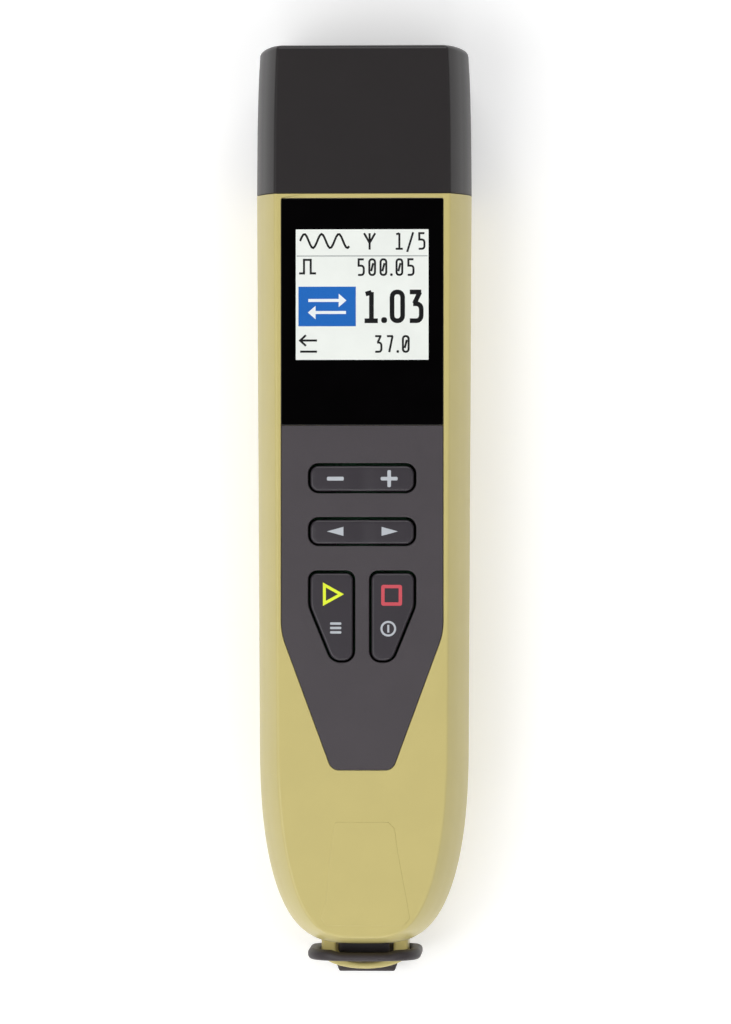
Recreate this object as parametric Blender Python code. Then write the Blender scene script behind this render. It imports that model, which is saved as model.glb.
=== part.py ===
"""A stick-shaped handheld antenna analyzer, modelled as the separate pieces it is put together from.

Metres. It lies on its back: +Z is the display's normal, +Y points to the socket cap, +X is to the right.
The origin is under the middle of the whole object.
"""

import math

import bmesh
import bpy
from mathutils import Vector

# Clearances
seat_gap = 0.0003
slide_gap = 0.0005
overlap = 0.0004
overrun = 0.0020
weld_distance = 0.000003

# How finely round shapes are cut up
tail_steps = 12
corner_steps = 5
round_steps = 24
small_round_steps = 16
eye_steps = 16
ribbon_steps = 10
lead_steps = 8
lead_round_steps = 2
smooth_angle = math.radians(32)

# Whole object and case
overall_length = 0.1938
cap_length = 0.0308
tail_fitting_length = 0.0070
case_depth = 0.0305
case_half_width_top = 0.0224
case_taper = 0.0006
tail_length_share = 0.27
split_share = 0.623
facet_rise = 0.0015
facet_width = 0.0042
front_end_inset = 0.0026
ridge_round = 0.0005
back_side_inset = 0.0072
back_end_inset = 0.0080
side_wall = 0.0020
back_wall = 0.0022
back_corner_rise = 0.0022
end_wall = 0.0022
pocket_floor = 0.0012
pocket_depth = 0.0015
tail_powers = (2.3, 3.5)
front_tail_powers = (1.7, 3.5)
back_level_shares = (
    (0.0, 1.0, 1.0), (0.065, 0.69, 0.75), (0.32, 0.21, 0.28), (0.74, 0.03, 0.04), (1.0, 0.0, 0.0)
)

# Window and key plate
window_side_margin = 0.00145
window_length_share = 0.2994
window_thickness = 0.0012
strip_above_window = 0.0010
plate_length_share = 0.457
plate_thickness = 0.0012
plate_kink_share = 0.602
plate_foot_share = 0.376
plate_foot_radius = 0.0022
plate_kink_radius = 0.0090
sharp_corner = 0.0003

# Keys
key_proud = 0.0005
key_edge_round = 0.0004
rocker_width_share = 0.6687
rocker_height_share = 0.0856
rocker_radius = 0.0022
rocker_drop_share = 0.1564
rocker_pitch_share = 0.155
rocker_depth = 0.0038
trunnion_radius = 0.0006
trunnion_length = 0.0010
trunnion_pad_width = 0.0030
trunnion_pad_depth = 0.0011
switch_spread_share = 0.366
side_key_length_share = 0.2693
side_key_spacing = 0.00284
side_key_drop_share = 0.4236
side_key_radius_share = 0.195
side_key_taper_share = 0.388
side_key_foot_share = 0.489
side_key_switch_share = 0.36
key_flange_width = 0.0010
key_flange_thickness = 0.0008
stem_radius = 0.0012

# Display stack
display_view_width_share = 0.821
display_view_length_share = 0.578
display_view_drop_share = 0.137
display_width_share = 0.94
display_length_share = 0.722
display_head_gap = 0.0010
display_thickness = 0.0020
display_frame_thickness = 0.0015
display_frame_rail = 0.0028
ribbon_width_share = 0.328
ribbon_thickness = 0.0003
ribbon_reach = 0.0028
ribbon_connector_share = 0.418
ribbon_connector_length = 0.0024
ribbon_connector_height = 0.0011

# Main board and what sits on it
board_thickness = 0.0016
board_head_width_share = 0.95
board_post_gap = 0.00025
board_neck_gap = 0.00055
board_tongue_gap = 0.00115
board_end_gap = 0.0026
board_tail_gap = 0.0049
board_head_length_share = 0.685
board_tongue_length_share = 0.8076
switch_size = 0.0052
switch_height = 0.0016
switch_floor = 0.0003
plunger_radius = 0.0015
plunger_rise = 0.0010
plunger_travel_room = 0.0006
processor_size = 0.0100
processor_thickness = 0.0010
processor_gap = 0.0074
shield_side_gap = 0.0003
shield_length_share = 0.173
shield_height = 0.0034
shield_wall = 0.0005
shield_head_gap_share = 0.0545
buzzer_radius = 0.0044
buzzer_height = 0.0032
buzzer_screw_gap = 0.0003
buzzer_hole_radius = 0.0011
buzzer_hole_depth = 0.0012
board_screw_radius = 0.0009
board_screw_head_radius = 0.0018
board_screw_head_height = 0.0011
board_screw_edge = 0.0022
board_screw_margin = 0.0076
board_screw_low_margin = 0.0054
standoff_wall = 0.0012
standoff_core = 0.0009

# Case screws
case_screw_radius = 0.00125
case_screw_head_radius = 0.0022
case_screw_head_height = 0.0018
case_screw_seat_height = 0.0042
case_screw_tip_gap = 0.0026
case_screw_side_share = 0.67
case_screw_low_side_share = 0.50
case_screw_tail_gap = 0.0119
front_boss_wall = 0.0010
rear_boss_wall = 0.0010
drive_radius = 0.0011
drive_depth = 0.0009

# Seal between the covers
seal_inset = 0.0006
seal_width = 0.0008
seal_height = 0.0009
seal_room = 0.00015

# Antenna socket, its housing and the cap
neck_width_share = 0.985
neck_side_margin = 0.00475
neck_height = 0.0080
neck_radius = 0.0045
flange_rim = 0.0012
flange_thickness = 0.0020
socket_seat_margin = 0.0007
socket_seat_thickness = 0.0022
socket_radius = 0.0079
socket_length = 0.0155
socket_edge_round = 0.0005
socket_mouth_radius = 0.0057
socket_mouth_depth = 0.0110
socket_tail_radius = 0.0040
socket_core_radius = 0.0022
insulator_length = 0.0024
contact_radius = 0.0014
contact_bore_radius = 0.0007
contact_bore_depth = 0.0040
contact_recess = 0.0030
neck_seal_rise = 0.0030
neck_seal_height = 0.0018
neck_seal_sink = 0.0008
neck_seal_proud = 0.0004
cap_top_wall = 0.0022
cap_top_edge = 0.0021
cap_top_side_inset = 0.0018
cap_crown_inset = 0.0029
cap_front_inset = 0.0004
cap_crown_front_inset = 0.0010
cap_lower_flare = 0.0003
cap_flare_share = 0.70
cap_shoulder_share = 0.33
coax_radius = 0.0011
coax_reach = 0.0085
coax_bend_share = 0.55

# Battery
cell_floor_gap = 0.0006
cell_length_share = 0.4167
cell_button_radius = 0.0028
cell_button_height = 0.0008
cell_board_gap = 0.0008
cradle_post_gap = 0.0006
cradle_side_wall = 0.0015
cradle_wall = 0.0022
cradle_rail_height = 0.0100
battery_contact_width_share = 0.88
battery_contact_height_share = 0.99
battery_contact_thickness = 0.0005

# Charging socket, strap eye and dust cover
usb_width = 0.0090
usb_height = 0.0032
usb_length = 0.0074
usb_wall = 0.0004
usb_mouth_depth = 0.0060
usb_tail_gap = 0.0032
port_round_share = 0.33
plug_width = 0.0108
plug_height = 0.0044
plug_insert_length = 0.0054
plug_shoulder = 0.0009
eye_outer_width = 0.0182
eye_leg_width = 0.0031
eye_low_height = 0.0065
eye_plug_gap = 0.0012
eye_drop = 0.0059
eye_bow_height = 0.0037
eye_bow_thickness = 0.0016
eye_root = 0.0029
ring_width = 0.0237
ring_low_height = 0.0030
ring_top_drop = 0.0048
ring_bar = 0.0024
ring_thickness = 0.0023
ring_drop = 0.00105
ring_corner_radius = 0.0044
tab_width = 0.0117
tab_flare_share = 0.47

# Lengths and widths that follow from the sizes above
case_length = overall_length - cap_length - tail_fitting_length
case_half_width_low = case_half_width_top - case_taper
joint_y = overall_length / 2 - cap_length
tail_y = joint_y - case_length
tail_length = case_length * tail_length_share
tail_start_y = tail_y + tail_length
window_width = 2 * (case_half_width_top - facet_width - window_side_margin)
window_length = case_length * window_length_share
window_top_y = joint_y - strip_above_window
plate_top_y = window_top_y - window_length - seat_gap
plate_length = case_length * plate_length_share
rocker_width = window_width * rocker_width_share
rocker_height = plate_length * rocker_height_share
rocker_pitch = plate_length * rocker_pitch_share
switch_spread = rocker_width * switch_spread_share
side_key_width = (rocker_width - side_key_spacing) / 2
side_key_length = plate_length * side_key_length_share
side_key_radius = side_key_width * side_key_radius_share
display_view_width = window_width * display_view_width_share
display_view_length = window_length * display_view_length_share
display_view_drop = window_length * display_view_drop_share
display_width = window_width * display_width_share
display_length = window_length * display_length_share
housing_inner_y = joint_y - end_wall
flange_top_y = housing_inner_y - seat_gap
flange_low_y = flange_top_y - flange_thickness
neck_top_y = joint_y + neck_height
neck_width = window_width * neck_width_share
neck_depth = case_depth - 2 * neck_side_margin
board_top_y = flange_low_y - board_end_gap
board_neck_y = board_top_y - window_length * board_head_length_share
board_foot_y = tail_y + board_tail_gap
board_shoulder_y = board_foot_y + tail_length * board_tongue_length_share
ring_top_y = tail_y - ring_drop
ring_low_y = ring_top_y - ring_thickness

# Heights that follow from the sizes above
split_height = case_depth * split_share
facet_foot_height = split_height + facet_rise
pocket_height = case_depth - pocket_depth
front_inner_height = pocket_height - pocket_floor
display_top_height = front_inner_height - seat_gap
display_low_height = display_top_height - display_thickness
frame_low_height = display_low_height - seat_gap - display_frame_thickness
board_top_height = frame_low_height - seat_gap
board_low_height = board_top_height - board_thickness
switch_low_height = board_top_height + seat_gap
switch_top_height = switch_low_height + switch_height
plunger_low_height = switch_low_height + switch_floor + plunger_travel_room
plunger_top_height = switch_top_height + plunger_rise
stem_low_height = plunger_top_height + seat_gap
key_top_height = case_depth + key_proud
socket_height = case_depth / 2
port_height = board_low_height - seat_gap - usb_height / 2
eye_high_height = port_height - plug_height / 2 - eye_plug_gap
ring_high_height = case_depth - ring_top_drop


def finish(name, colour, roughness, metallic=0.0):
    """A plain finish for one kind of material."""
    made = bpy.data.materials.new(name)
    made.use_nodes = True
    shader = made.node_tree.nodes["Principled BSDF"]
    shader.inputs["Base Color"].default_value = (*colour, 1.0)
    shader.inputs["Roughness"].default_value = roughness
    shader.inputs["Metallic"].default_value = metallic
    return made


def place(name, made, material, origin=Vector((0.0, 0.0, 0.0))):
    """Turns a bmesh that is drawn in the object's own frame into a named piece with its origin there."""
    bmesh.ops.recalc_face_normals(made, faces=made.faces)
    bmesh.ops.translate(made, verts=made.verts, vec=-origin)
    mesh = bpy.data.meshes.new(name)
    made.to_mesh(mesh)
    made.free()
    mesh.materials.append(material)
    piece = bpy.data.objects.new(name, mesh)
    piece.location = origin
    bpy.context.scene.collection.objects.link(piece)
    mesh.shade_smooth()
    mesh.set_sharp_from_angle(angle=smooth_angle)
    return piece


def combine(target, made, operation):
    """Cuts a shape from a piece, or joins it on, with a Boolean modifier, and returns the shape's object."""
    tool = place(f"{target.name}.tool{len(target.modifiers):02d}", made, target.data.materials[0])
    tool.hide_render = True
    tool.display_type = "WIRE"
    modifier = target.modifiers.new(tool.name, "BOOLEAN")
    modifier.operation = operation
    modifier.solver = "EXACT"
    modifier.object = tool
    return tool


def cut(target, made):
    return combine(target, made, "DIFFERENCE")


def join(target, made):
    return combine(target, made, "UNION")


def rectangle(width, length, centre=(0.0, 0.0)):
    """Four corners, anticlockwise."""
    x, y = centre
    left, right = x - width / 2, x + width / 2
    low, high = y - length / 2, y + length / 2
    return [(left, low), (right, low), (right, high), (left, high)]


def widened(corners, distance):
    """An anticlockwise outline with each of its straight sides moved outwards."""
    moved = []
    for index, corner in enumerate(corners):
        corner = Vector(corner)
        arriving = (corner - Vector(corners[index - 1])).normalized()
        leaving = (Vector(corners[(index + 1) % len(corners)]) - corner).normalized()
        first = Vector((arriving.y, -arriving.x))
        second = Vector((leaving.y, -leaving.x))
        moved.append(tuple(corner + (first + second) * distance / (1 + first.dot(second))))
    return moved


def rounded(corners, radii):
    """An anticlockwise outline with an arc at each corner; one radius serves all, or each has its own."""
    if not isinstance(radii, (list, tuple)):
        radii = [radii] * len(corners)
    points = []
    for index, corner in enumerate(corners):
        corner = Vector(corner)
        back = (Vector(corners[index - 1]) - corner).normalized()
        ahead = (Vector(corners[(index + 1) % len(corners)]) - corner).normalized()
        half_angle = math.acos(max(-1.0, min(1.0, back.dot(ahead)))) / 2
        reach = radii[index] / math.tan(half_angle)
        centre = corner + (back + ahead).normalized() * radii[index] / math.sin(half_angle)
        first = corner + back * reach - centre
        last = corner + ahead * reach - centre
        start = math.atan2(first.y, first.x)
        turn = (math.atan2(last.y, last.x) - start + math.pi) % (2 * math.pi) - math.pi
        for step in range(corner_steps + 1):
            angle = start + turn * step / corner_steps
            points.append(tuple(centre + Vector((math.cos(angle), math.sin(angle))) * radii[index]))
    return points


def circle(radius, centre=(0.0, 0.0), steps=round_steps):
    x, y = centre
    turns = (2 * math.pi * step / steps for step in range(steps))
    return [(x + radius * math.cos(turn), y + radius * math.sin(turn)) for turn in turns]


def loft(levels, axis="Z"):
    """A closed solid through outlines of equal counts, each given with its height along the axis."""
    made = bmesh.new()
    rings = []
    for outline, height in levels:
        if axis == "Z":
            rings.append([made.verts.new((u, v, height)) for u, v in outline])
        else:
            rings.append([made.verts.new((u, height, v)) for u, v in outline])
    made.faces.new(rings[0])
    made.faces.new(rings[-1])
    count = len(rings[0])
    for low, high in zip(rings, rings[1:]):
        for index in range(count):
            after = (index + 1) % count
            made.faces.new((low[index], low[after], high[after], high[index]))
    return made


def prism(outline, low, high, axis="Z"):
    return loft([(outline, low), (outline, high)], axis)


def block(width, length, low, high, centre=(0.0, 0.0)):
    return prism(rectangle(width, length, centre), low, high)


def peg(radius, spot, low, high):
    """A small round bar along Z, also used to bore a hole."""
    return prism(circle(radius, spot, small_round_steps), low, high)


def end_outline(width, depth, height, radius, room=0.0):
    """A rounded rectangle in the plane across the object, centred at a height."""
    return rounded(rectangle(width + 2 * room, depth + 2 * room, (0.0, height)), radius + room)


def turned(profile, height, steps=round_steps):
    """A solid turned round a line along Y; its profile of radius and y closes on itself or on the line."""
    made = bmesh.new()
    points = [made.verts.new((0.0, y, height + radius)) for radius, y in profile]
    edges = [made.edges.new(pair) for pair in zip(points, points[1:])]
    if profile[0][0] > 0:
        edges.append(made.edges.new((points[-1], points[0])))
    centre = (0.0, 0.0, height)
    bmesh.ops.spin(
        made, geom=points + edges, cent=centre, axis=(0.0, 1.0, 0.0), angle=2 * math.pi, steps=steps
    )
    bmesh.ops.remove_doubles(made, verts=made.verts, dist=weld_distance)
    return made


def case_side(side_inset, end_inset, powers=tail_powers, top_y=joint_y):
    """The right-hand half of the case's outline, from the socket end to the middle of the tail."""
    along_power, across_power = powers
    upper = case_half_width_top - side_inset
    lower = case_half_width_low - side_inset
    reach = tail_length - end_inset
    side = [(upper, top_y), (lower, tail_start_y)]
    for step in range(1, tail_steps + 1):
        angle = math.pi / 2 * step / tail_steps
        along = math.sin(angle) ** (2 / along_power)
        across = max(math.cos(angle), 0.0) ** (2 / across_power) if step < tail_steps else 0.0
        side.append((lower * across, tail_start_y - reach * along))
    return side


def case_outline(side_inset, end_inset, powers=tail_powers, top_y=joint_y):
    """The case seen from the front: two nearly straight sides that close in a round tail."""
    side = case_side(side_inset, end_inset, powers, top_y)
    return [(-x, y) for x, y in side[:-1]] + side[::-1]


def front_inset(height):
    """How far the side facets and the tail have drawn in at a height on the front cover."""
    share = max(0.0, (height - facet_foot_height) / (case_depth - facet_foot_height))
    return facet_width * share, front_end_inset * share


def back_inset(height):
    """How far the rear cover's sides and tail have drawn in at a height."""
    share = height / split_height
    for lower, upper in zip(back_level_shares, back_level_shares[1:]):
        if share <= upper[0]:
            part = (share - lower[0]) / (upper[0] - lower[0])
            side = lower[1] + (upper[1] - lower[1]) * part
            end = lower[2] + (upper[2] - lower[2]) * part
            return back_side_inset * side, back_end_inset * end
    return 0.0, 0.0


def screw(name, material, x, y, seat, head_radius, head_height, shank_radius, length):
    """A pan head screw whose head points down, with a cross drive."""
    head_low = seat - seat_gap - head_height
    head_core = head_radius - drive_depth / 2
    made = loft([
        (circle(head_core, (x, y)), head_low),
        (circle(head_radius, (x, y)), head_low + head_height / 2),
        (circle(head_radius, (x, y)), seat - seat_gap),
    ])
    piece = place(name, made, material)
    join(piece, peg(shank_radius, (x, y), seat - seat_gap - overlap, seat + length))
    for width, across in ((drive_radius * 2, drive_radius / 2), (drive_radius / 2, drive_radius * 2)):
        cut(piece, block(width, across, head_low - overrun, head_low + drive_depth, (x, y)))
    return piece


for old in list(bpy.data.objects):
    bpy.data.objects.remove(old, do_unlink=True)

sand = finish("sand plastic", (0.60, 0.52, 0.20), 0.45)
cap_dark = finish("dark soft plastic", (0.033, 0.030, 0.031), 0.62)
gloss = finish("black window", (0.004, 0.003, 0.004), 0.08)
plate_grey = finish("dark key plate", (0.088, 0.078, 0.084), 0.55)
key_grey = finish("key plastic", (0.055, 0.051, 0.058), 0.50)
rubber = finish("dust cover rubber", (0.060, 0.048, 0.055), 0.70)
glass = finish("display glass", (0.80, 0.82, 0.82), 0.12)
white = finish("white plastic", (0.75, 0.75, 0.72), 0.50)
green = finish("board", (0.02, 0.16, 0.06), 0.45)
black = finish("black plastic", (0.02, 0.02, 0.02), 0.45)
amber = finish("ribbon", (0.50, 0.22, 0.03), 0.40)
nickel = finish("nickel", (0.70, 0.68, 0.64), 0.28, 1.0)
gold = finish("gold contact", (0.85, 0.62, 0.25), 0.30, 1.0)
steel = finish("steel", (0.42, 0.42, 0.43), 0.35, 1.0)
light_metal = finish("cast light metal", (0.45, 0.45, 0.46), 0.45, 1.0)
wrap = finish("cell wrap", (0.03, 0.12, 0.35), 0.35)
seal_grey = finish("seal rubber", (0.04, 0.04, 0.04), 0.75)

# Outlines shared by the covers, the plate and the keys
plate_foot_y = plate_top_y - plate_length
plate_kink_y = plate_top_y - plate_length * plate_kink_share
plate_foot_half = window_width * plate_foot_share / 2
plate_corners = [
    (-plate_foot_half, plate_foot_y), (plate_foot_half, plate_foot_y),
    (window_width / 2, plate_kink_y), (window_width / 2, plate_top_y),
    (-window_width / 2, plate_top_y), (-window_width / 2, plate_kink_y),
]
plate_radii = [
    plate_foot_radius, plate_foot_radius, plate_kink_radius, sharp_corner, sharp_corner, plate_kink_radius
]
pocket_corners = [(x, window_top_y if y == plate_top_y else y) for x, y in plate_corners]
window_corners = rectangle(window_width, window_length, (0.0, window_top_y - window_length / 2))
rocker_y = plate_top_y - plate_length * rocker_drop_share
rocker_places = [("rocker_key_minus_plus", rocker_y), ("rocker_key_left_right", rocker_y - rocker_pitch)]
side_key_top_y = plate_top_y - plate_length * side_key_drop_share
side_key_foot_y = side_key_top_y - side_key_length
side_key_inner = side_key_spacing / 2
side_key_outer = side_key_inner + side_key_width
side_key_taper_y = side_key_top_y - side_key_length * side_key_taper_share
side_key_foot_x = side_key_outer - side_key_width * side_key_foot_share
right_key_corners = [
    (side_key_inner, side_key_foot_y), (side_key_foot_x, side_key_foot_y),
    (side_key_outer, side_key_taper_y), (side_key_outer, side_key_top_y), (side_key_inner, side_key_top_y),
]
left_key_corners = [(-x, y) for x, y in reversed(right_key_corners)]
side_keys = [("start_key", left_key_corners, -1), ("stop_key", right_key_corners, 1)]
side_key_switch_x = side_key_inner + side_key_width / 2
side_key_switch_y = side_key_top_y - side_key_length * side_key_switch_share


def rocker_outline(y, room):
    """The slot of a rocker key, or the key itself where room is negative."""
    corners = rectangle(rocker_width + 2 * room, rocker_height + 2 * room, (0.0, y))
    return rounded(corners, rocker_radius + room)


def side_key_outline(corners, room):
    return rounded(widened(corners, room), side_key_radius + room)


# Front cover
front_levels = [(case_outline(0.0, 0.0), split_height + seat_gap / 2)]
front_levels.append((case_outline(0.0, 0.0), facet_foot_height))
ridge_side, ridge_end = front_inset(case_depth - ridge_round)
front_levels.append((case_outline(ridge_side, ridge_end, front_tail_powers), case_depth - ridge_round))
face_side = facet_width + ridge_round / 2
face_end = front_end_inset + ridge_round / 2
front_levels.append((case_outline(face_side, face_end, front_tail_powers), case_depth))
front_cover = place("front_cover", loft(front_levels), sand)

hollow_levels = []
for level in (split_height - overrun, facet_foot_height, front_inner_height):
    side, end = front_inset(level)
    powers = front_tail_powers if level > facet_foot_height else tail_powers
    hollow_levels.append((case_outline(side + side_wall, end + side_wall, powers, housing_inner_y), level))
front_hollow = cut(front_cover, loft(hollow_levels))
pocket = rounded(widened(pocket_corners, seat_gap), plate_radii)
cut(front_cover, prism(pocket, pocket_height, case_depth + overrun))

display_view_y = window_top_y - display_view_drop - display_view_length / 2
display_y = flange_low_y - display_head_gap - display_length / 2
cut(front_cover, block(
    display_view_width + 2 * slide_gap, display_view_length + 2 * slide_gap,
    front_inner_height - overrun, pocket_height + overrun, (0.0, display_view_y),
))

trunnion_height = front_inner_height + trunnion_radius
for name, y in rocker_places:
    cut(front_cover, prism(rocker_outline(y, 0.0), front_inner_height - overrun, pocket_height + overrun))
    for side in (-1, 1):
        pad_y = y + side * (rocker_height / 2 + trunnion_length / 2)
        cut(front_hollow, block(
            trunnion_pad_width, trunnion_length + slide_gap,
            front_inner_height - trunnion_pad_depth, front_inner_height + overlap, (0.0, pad_y),
        ))
        cut(front_cover, block(
            2 * (trunnion_radius + seat_gap), trunnion_length + slide_gap,
            front_inner_height - seat_gap, pocket_height + overrun, (0.0, pad_y - side * slide_gap),
        ))
for name, corners, side in side_keys:
    opening = side_key_outline(corners, key_flange_width)
    cut(front_cover, prism(opening, front_inner_height - overrun, pocket_height + overrun))

pilot_radius = case_screw_radius + seat_gap
front_post_radius = pilot_radius + front_boss_wall
rear_post_radius = case_screw_head_radius + slide_gap + rear_boss_wall
case_screw_length = front_inner_height - case_screw_tip_gap - case_screw_seat_height
case_screw_side = case_half_width_top * case_screw_side_share
case_screw_low_side = case_half_width_top * case_screw_low_side_share
case_screw_y = board_neck_y - board_neck_gap - front_post_radius
case_screw_low_y = tail_y + case_screw_tail_gap
case_screw_places = [
    (-case_screw_side, case_screw_y), (case_screw_side, case_screw_y),
    (-case_screw_low_side, case_screw_low_y), (case_screw_low_side, case_screw_low_y),
]
pilot_top = case_screw_seat_height + case_screw_length + slide_gap
for spot in case_screw_places:
    post = circle(front_post_radius, spot)
    cut(front_hollow, prism(post, split_height + seat_gap / 2, front_inner_height + overlap))
    cut(front_cover, peg(pilot_radius, spot, split_height - overrun, pilot_top))

half_stem = case_screw_side - front_post_radius - board_post_gap
board_screw_side = half_stem - board_screw_edge
board_screw_places = [
    (side * board_screw_side, y)
    for y in (board_neck_y - board_screw_margin, board_shoulder_y + board_screw_low_margin)
    for side in (-1, 1)
]
standoff_radius = board_screw_radius + seat_gap + standoff_wall
for spot in board_screw_places:
    cut(front_hollow, prism(
        circle(standoff_radius, spot), board_top_height + seat_gap, front_inner_height + overlap
    ))
    cut(front_cover, peg(
        board_screw_radius + seat_gap, spot,
        board_top_height - overrun, front_inner_height - standoff_core + slide_gap,
    ))

# Rear cover with the strap eye
rear_levels = []
for height_share, side_share, end_share in back_level_shares:
    outline = case_outline(back_side_inset * side_share, back_end_inset * end_share)
    level = split_height * height_share - (seat_gap / 2 if height_share == 1 else 0.0)
    rear_levels.append((outline, level))
rear_cover = place("rear_cover", loft(rear_levels), sand)

hollow_levels = []
for level in (back_wall, back_wall + back_corner_rise, split_height / 2, split_height + overrun):
    side, end = back_inset(min(level, split_height))
    outline = case_outline(side + side_wall, end + side_wall, tail_powers, housing_inner_y)
    hollow_levels.append((outline, level))
rear_hollow = cut(rear_cover, loft(hollow_levels))

eye_half = eye_outer_width / 2
eye_bow_y = tail_y - eye_drop + eye_bow_height
eye_points = []
for step in range(eye_steps + 1):
    angle = math.pi * step / eye_steps
    eye_points.append((-eye_half * math.cos(angle), eye_bow_y - eye_bow_height * math.sin(angle)))
hole_half = eye_half - eye_leg_width
hole_bow = eye_bow_height - eye_bow_thickness
hole_points = []
for step in range(eye_steps + 1):
    angle = math.pi * step / eye_steps
    hole_points.append((hole_half * math.cos(angle), eye_bow_y - hole_bow * math.sin(angle)))
eye_root_y = tail_y + eye_root
eye_outline = (
    [(-eye_half, eye_root_y)] + eye_points + [(eye_half, eye_root_y), (hole_half, eye_root_y)]
    + hole_points + [(-hole_half, eye_root_y)]
)
join(rear_cover, prism(eye_outline, eye_low_height, eye_high_height))

for spot in case_screw_places:
    cut(rear_hollow, prism(
        circle(rear_post_radius, spot), back_wall - overlap, split_height - seat_gap / 2
    ))
    cut(rear_cover, prism(
        circle(case_screw_head_radius + slide_gap, spot), -overrun, case_screw_seat_height
    ))
    cut(rear_cover, peg(pilot_radius, spot, case_screw_seat_height - overrun, split_height + overrun))

seal_top_height = split_height - seat_gap / 2
seal_low_height = seal_top_height - seal_height


def seal_band(side, room, low, high):
    """A band along one side of the case, from the socket end to the charging port."""
    near, far = seal_inset - room, seal_inset + seal_width + room
    outer = case_side(near, near, tail_powers, housing_inner_y + room)[:-1]
    inner = case_side(far, far, tail_powers, housing_inner_y + room)[:-1]
    return prism([(side * x, y) for x, y in outer + inner[::-1]], low, high)


for name, side in (("case_seal_left", -1), ("case_seal_right", 1)):
    cut(rear_cover, seal_band(side, seal_room, seal_low_height - seal_room, split_height))
    place(name, seal_band(side, 0.0, seal_low_height, seal_top_height), seal_grey)


# Both covers share the socket housing's opening and the charging port
neck_room = end_outline(neck_width, neck_depth, socket_height, neck_radius, seat_gap)
plug_radius = plug_height * port_round_share
port_room = end_outline(plug_width, plug_height, port_height, plug_radius, slide_gap)
for cover in (front_cover, rear_cover):
    cut(cover, prism(neck_room, housing_inner_y - overrun, joint_y + overrun, "Y"))
    cut(cover, prism(port_room, tail_y - overrun, tail_y + usb_tail_gap, "Y"))

# Window and key plate
place("display_window", prism(
    rounded(window_corners, sharp_corner), case_depth - window_thickness, case_depth
), gloss)
keypad_plate = place("keypad_plate", prism(
    rounded(plate_corners, plate_radii), case_depth - plate_thickness, case_depth
), plate_grey)
plate_low_height = case_depth - plate_thickness
for name, y in rocker_places:
    cut(keypad_plate, prism(rocker_outline(y, 0.0), plate_low_height - overrun, case_depth + overrun))
for name, corners, side in side_keys:
    cut(keypad_plate, prism(side_key_outline(corners, 0.0), plate_low_height - overrun, case_depth + overrun))


def switch_and_plunger(name, x, y):
    """A board switch, hollow for the plunger that the key presses."""
    body = place(f"switch_{name}", block(
        switch_size, switch_size, switch_low_height, switch_top_height, (x, y)
    ), black)
    hole_low = switch_low_height + switch_floor
    cut(body, peg(plunger_radius + seat_gap, (x, y), hole_low, switch_top_height + overrun))
    plunger = peg(plunger_radius, (x, y), plunger_low_height, plunger_top_height)
    place(f"plunger_{name}", plunger, white, Vector((x, y, plunger_low_height)))


# Rocker keys, each on two trunnions
rocker_low_height = key_top_height - rocker_depth
switch_names = {
    "rocker_key_minus_plus": ("minus", "plus"),
    "rocker_key_left_right": ("left", "right"),
}
for name, y in rocker_places:
    made = loft([
        (rocker_outline(y, -slide_gap), rocker_low_height),
        (rocker_outline(y, -slide_gap), key_top_height - key_edge_round),
        (rocker_outline(y, -slide_gap - key_edge_round), key_top_height),
    ])
    rocker = place(name, made, key_grey, Vector((0.0, y, trunnion_height)))
    reach = rocker_height / 2 + trunnion_length - seat_gap
    pin = prism(circle(trunnion_radius, (0.0, trunnion_height), small_round_steps), y - reach, y + reach, "Y")
    join(rocker, pin)
    for side, switch_name in zip((-1, 1), switch_names[name]):
        spot = (side * switch_spread, y)
        join(rocker, peg(stem_radius, spot, stem_low_height, rocker_low_height + overlap))
        switch_and_plunger(switch_name, side * switch_spread, y)

# Start and stop keys, held under the plate by a rim
key_rim_top = plate_low_height - seat_gap
key_rim_low = key_rim_top - key_flange_thickness
for name, corners, side in side_keys:
    rim = side_key_outline(corners, key_flange_width - slide_gap)
    spot = (side * side_key_switch_x, side_key_switch_y)
    made = loft([
        (side_key_outline(corners, -slide_gap), key_rim_low + overlap),
        (side_key_outline(corners, -slide_gap), key_top_height - key_edge_round),
        (side_key_outline(corners, -slide_gap - key_edge_round), key_top_height),
    ])
    key = place(name, made, key_grey, Vector((*spot, key_rim_low)))
    join(key, prism(rim, key_rim_low, key_rim_top))
    join(key, peg(stem_radius, spot, stem_low_height, key_rim_low + overlap))
    switch_and_plunger(name.split("_")[0], *spot)

# Display stack
place("display_panel", block(
    display_width, display_length, display_low_height, display_top_height, (0.0, display_y)
), glass)
frame_top_height = frame_low_height + display_frame_thickness
display_frame = place("display_frame", block(
    display_width, display_length, frame_low_height, frame_top_height, (0.0, display_y)
), white)
cut(display_frame, block(
    display_width - 2 * display_frame_rail, display_length - 2 * display_frame_rail,
    frame_low_height - overrun, display_low_height + overrun, (0.0, display_y),
))

# Main board
half_head = window_width * board_head_width_share / 2
half_tongue = case_screw_low_side - front_post_radius - board_tongue_gap
board_right = [
    (half_tongue, board_foot_y), (half_tongue, board_shoulder_y), (half_stem, board_shoulder_y),
    (half_stem, board_neck_y), (half_head, board_neck_y), (half_head, board_top_y),
]
board_outline = board_right + [(-x, y) for x, y in reversed(board_right)]
main_board = place("main_board", prism(board_outline, board_low_height, board_top_height), green)
for number, spot in enumerate(board_screw_places):
    screw_room = board_screw_radius + seat_gap
    cut(main_board, peg(screw_room, spot, board_low_height - overrun, board_top_height + overrun))
    screw(
        f"board_screw_{number + 1}", steel, *spot, board_low_height,
        board_screw_head_radius, board_screw_head_height, board_screw_radius,
        front_inner_height - standoff_core - board_low_height,
    )
for number, spot in enumerate(case_screw_places):
    screw(
        f"case_screw_{number + 1}", steel, *spot, case_screw_seat_height,
        case_screw_head_radius, case_screw_head_height, case_screw_radius, case_screw_length,
    )

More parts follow.
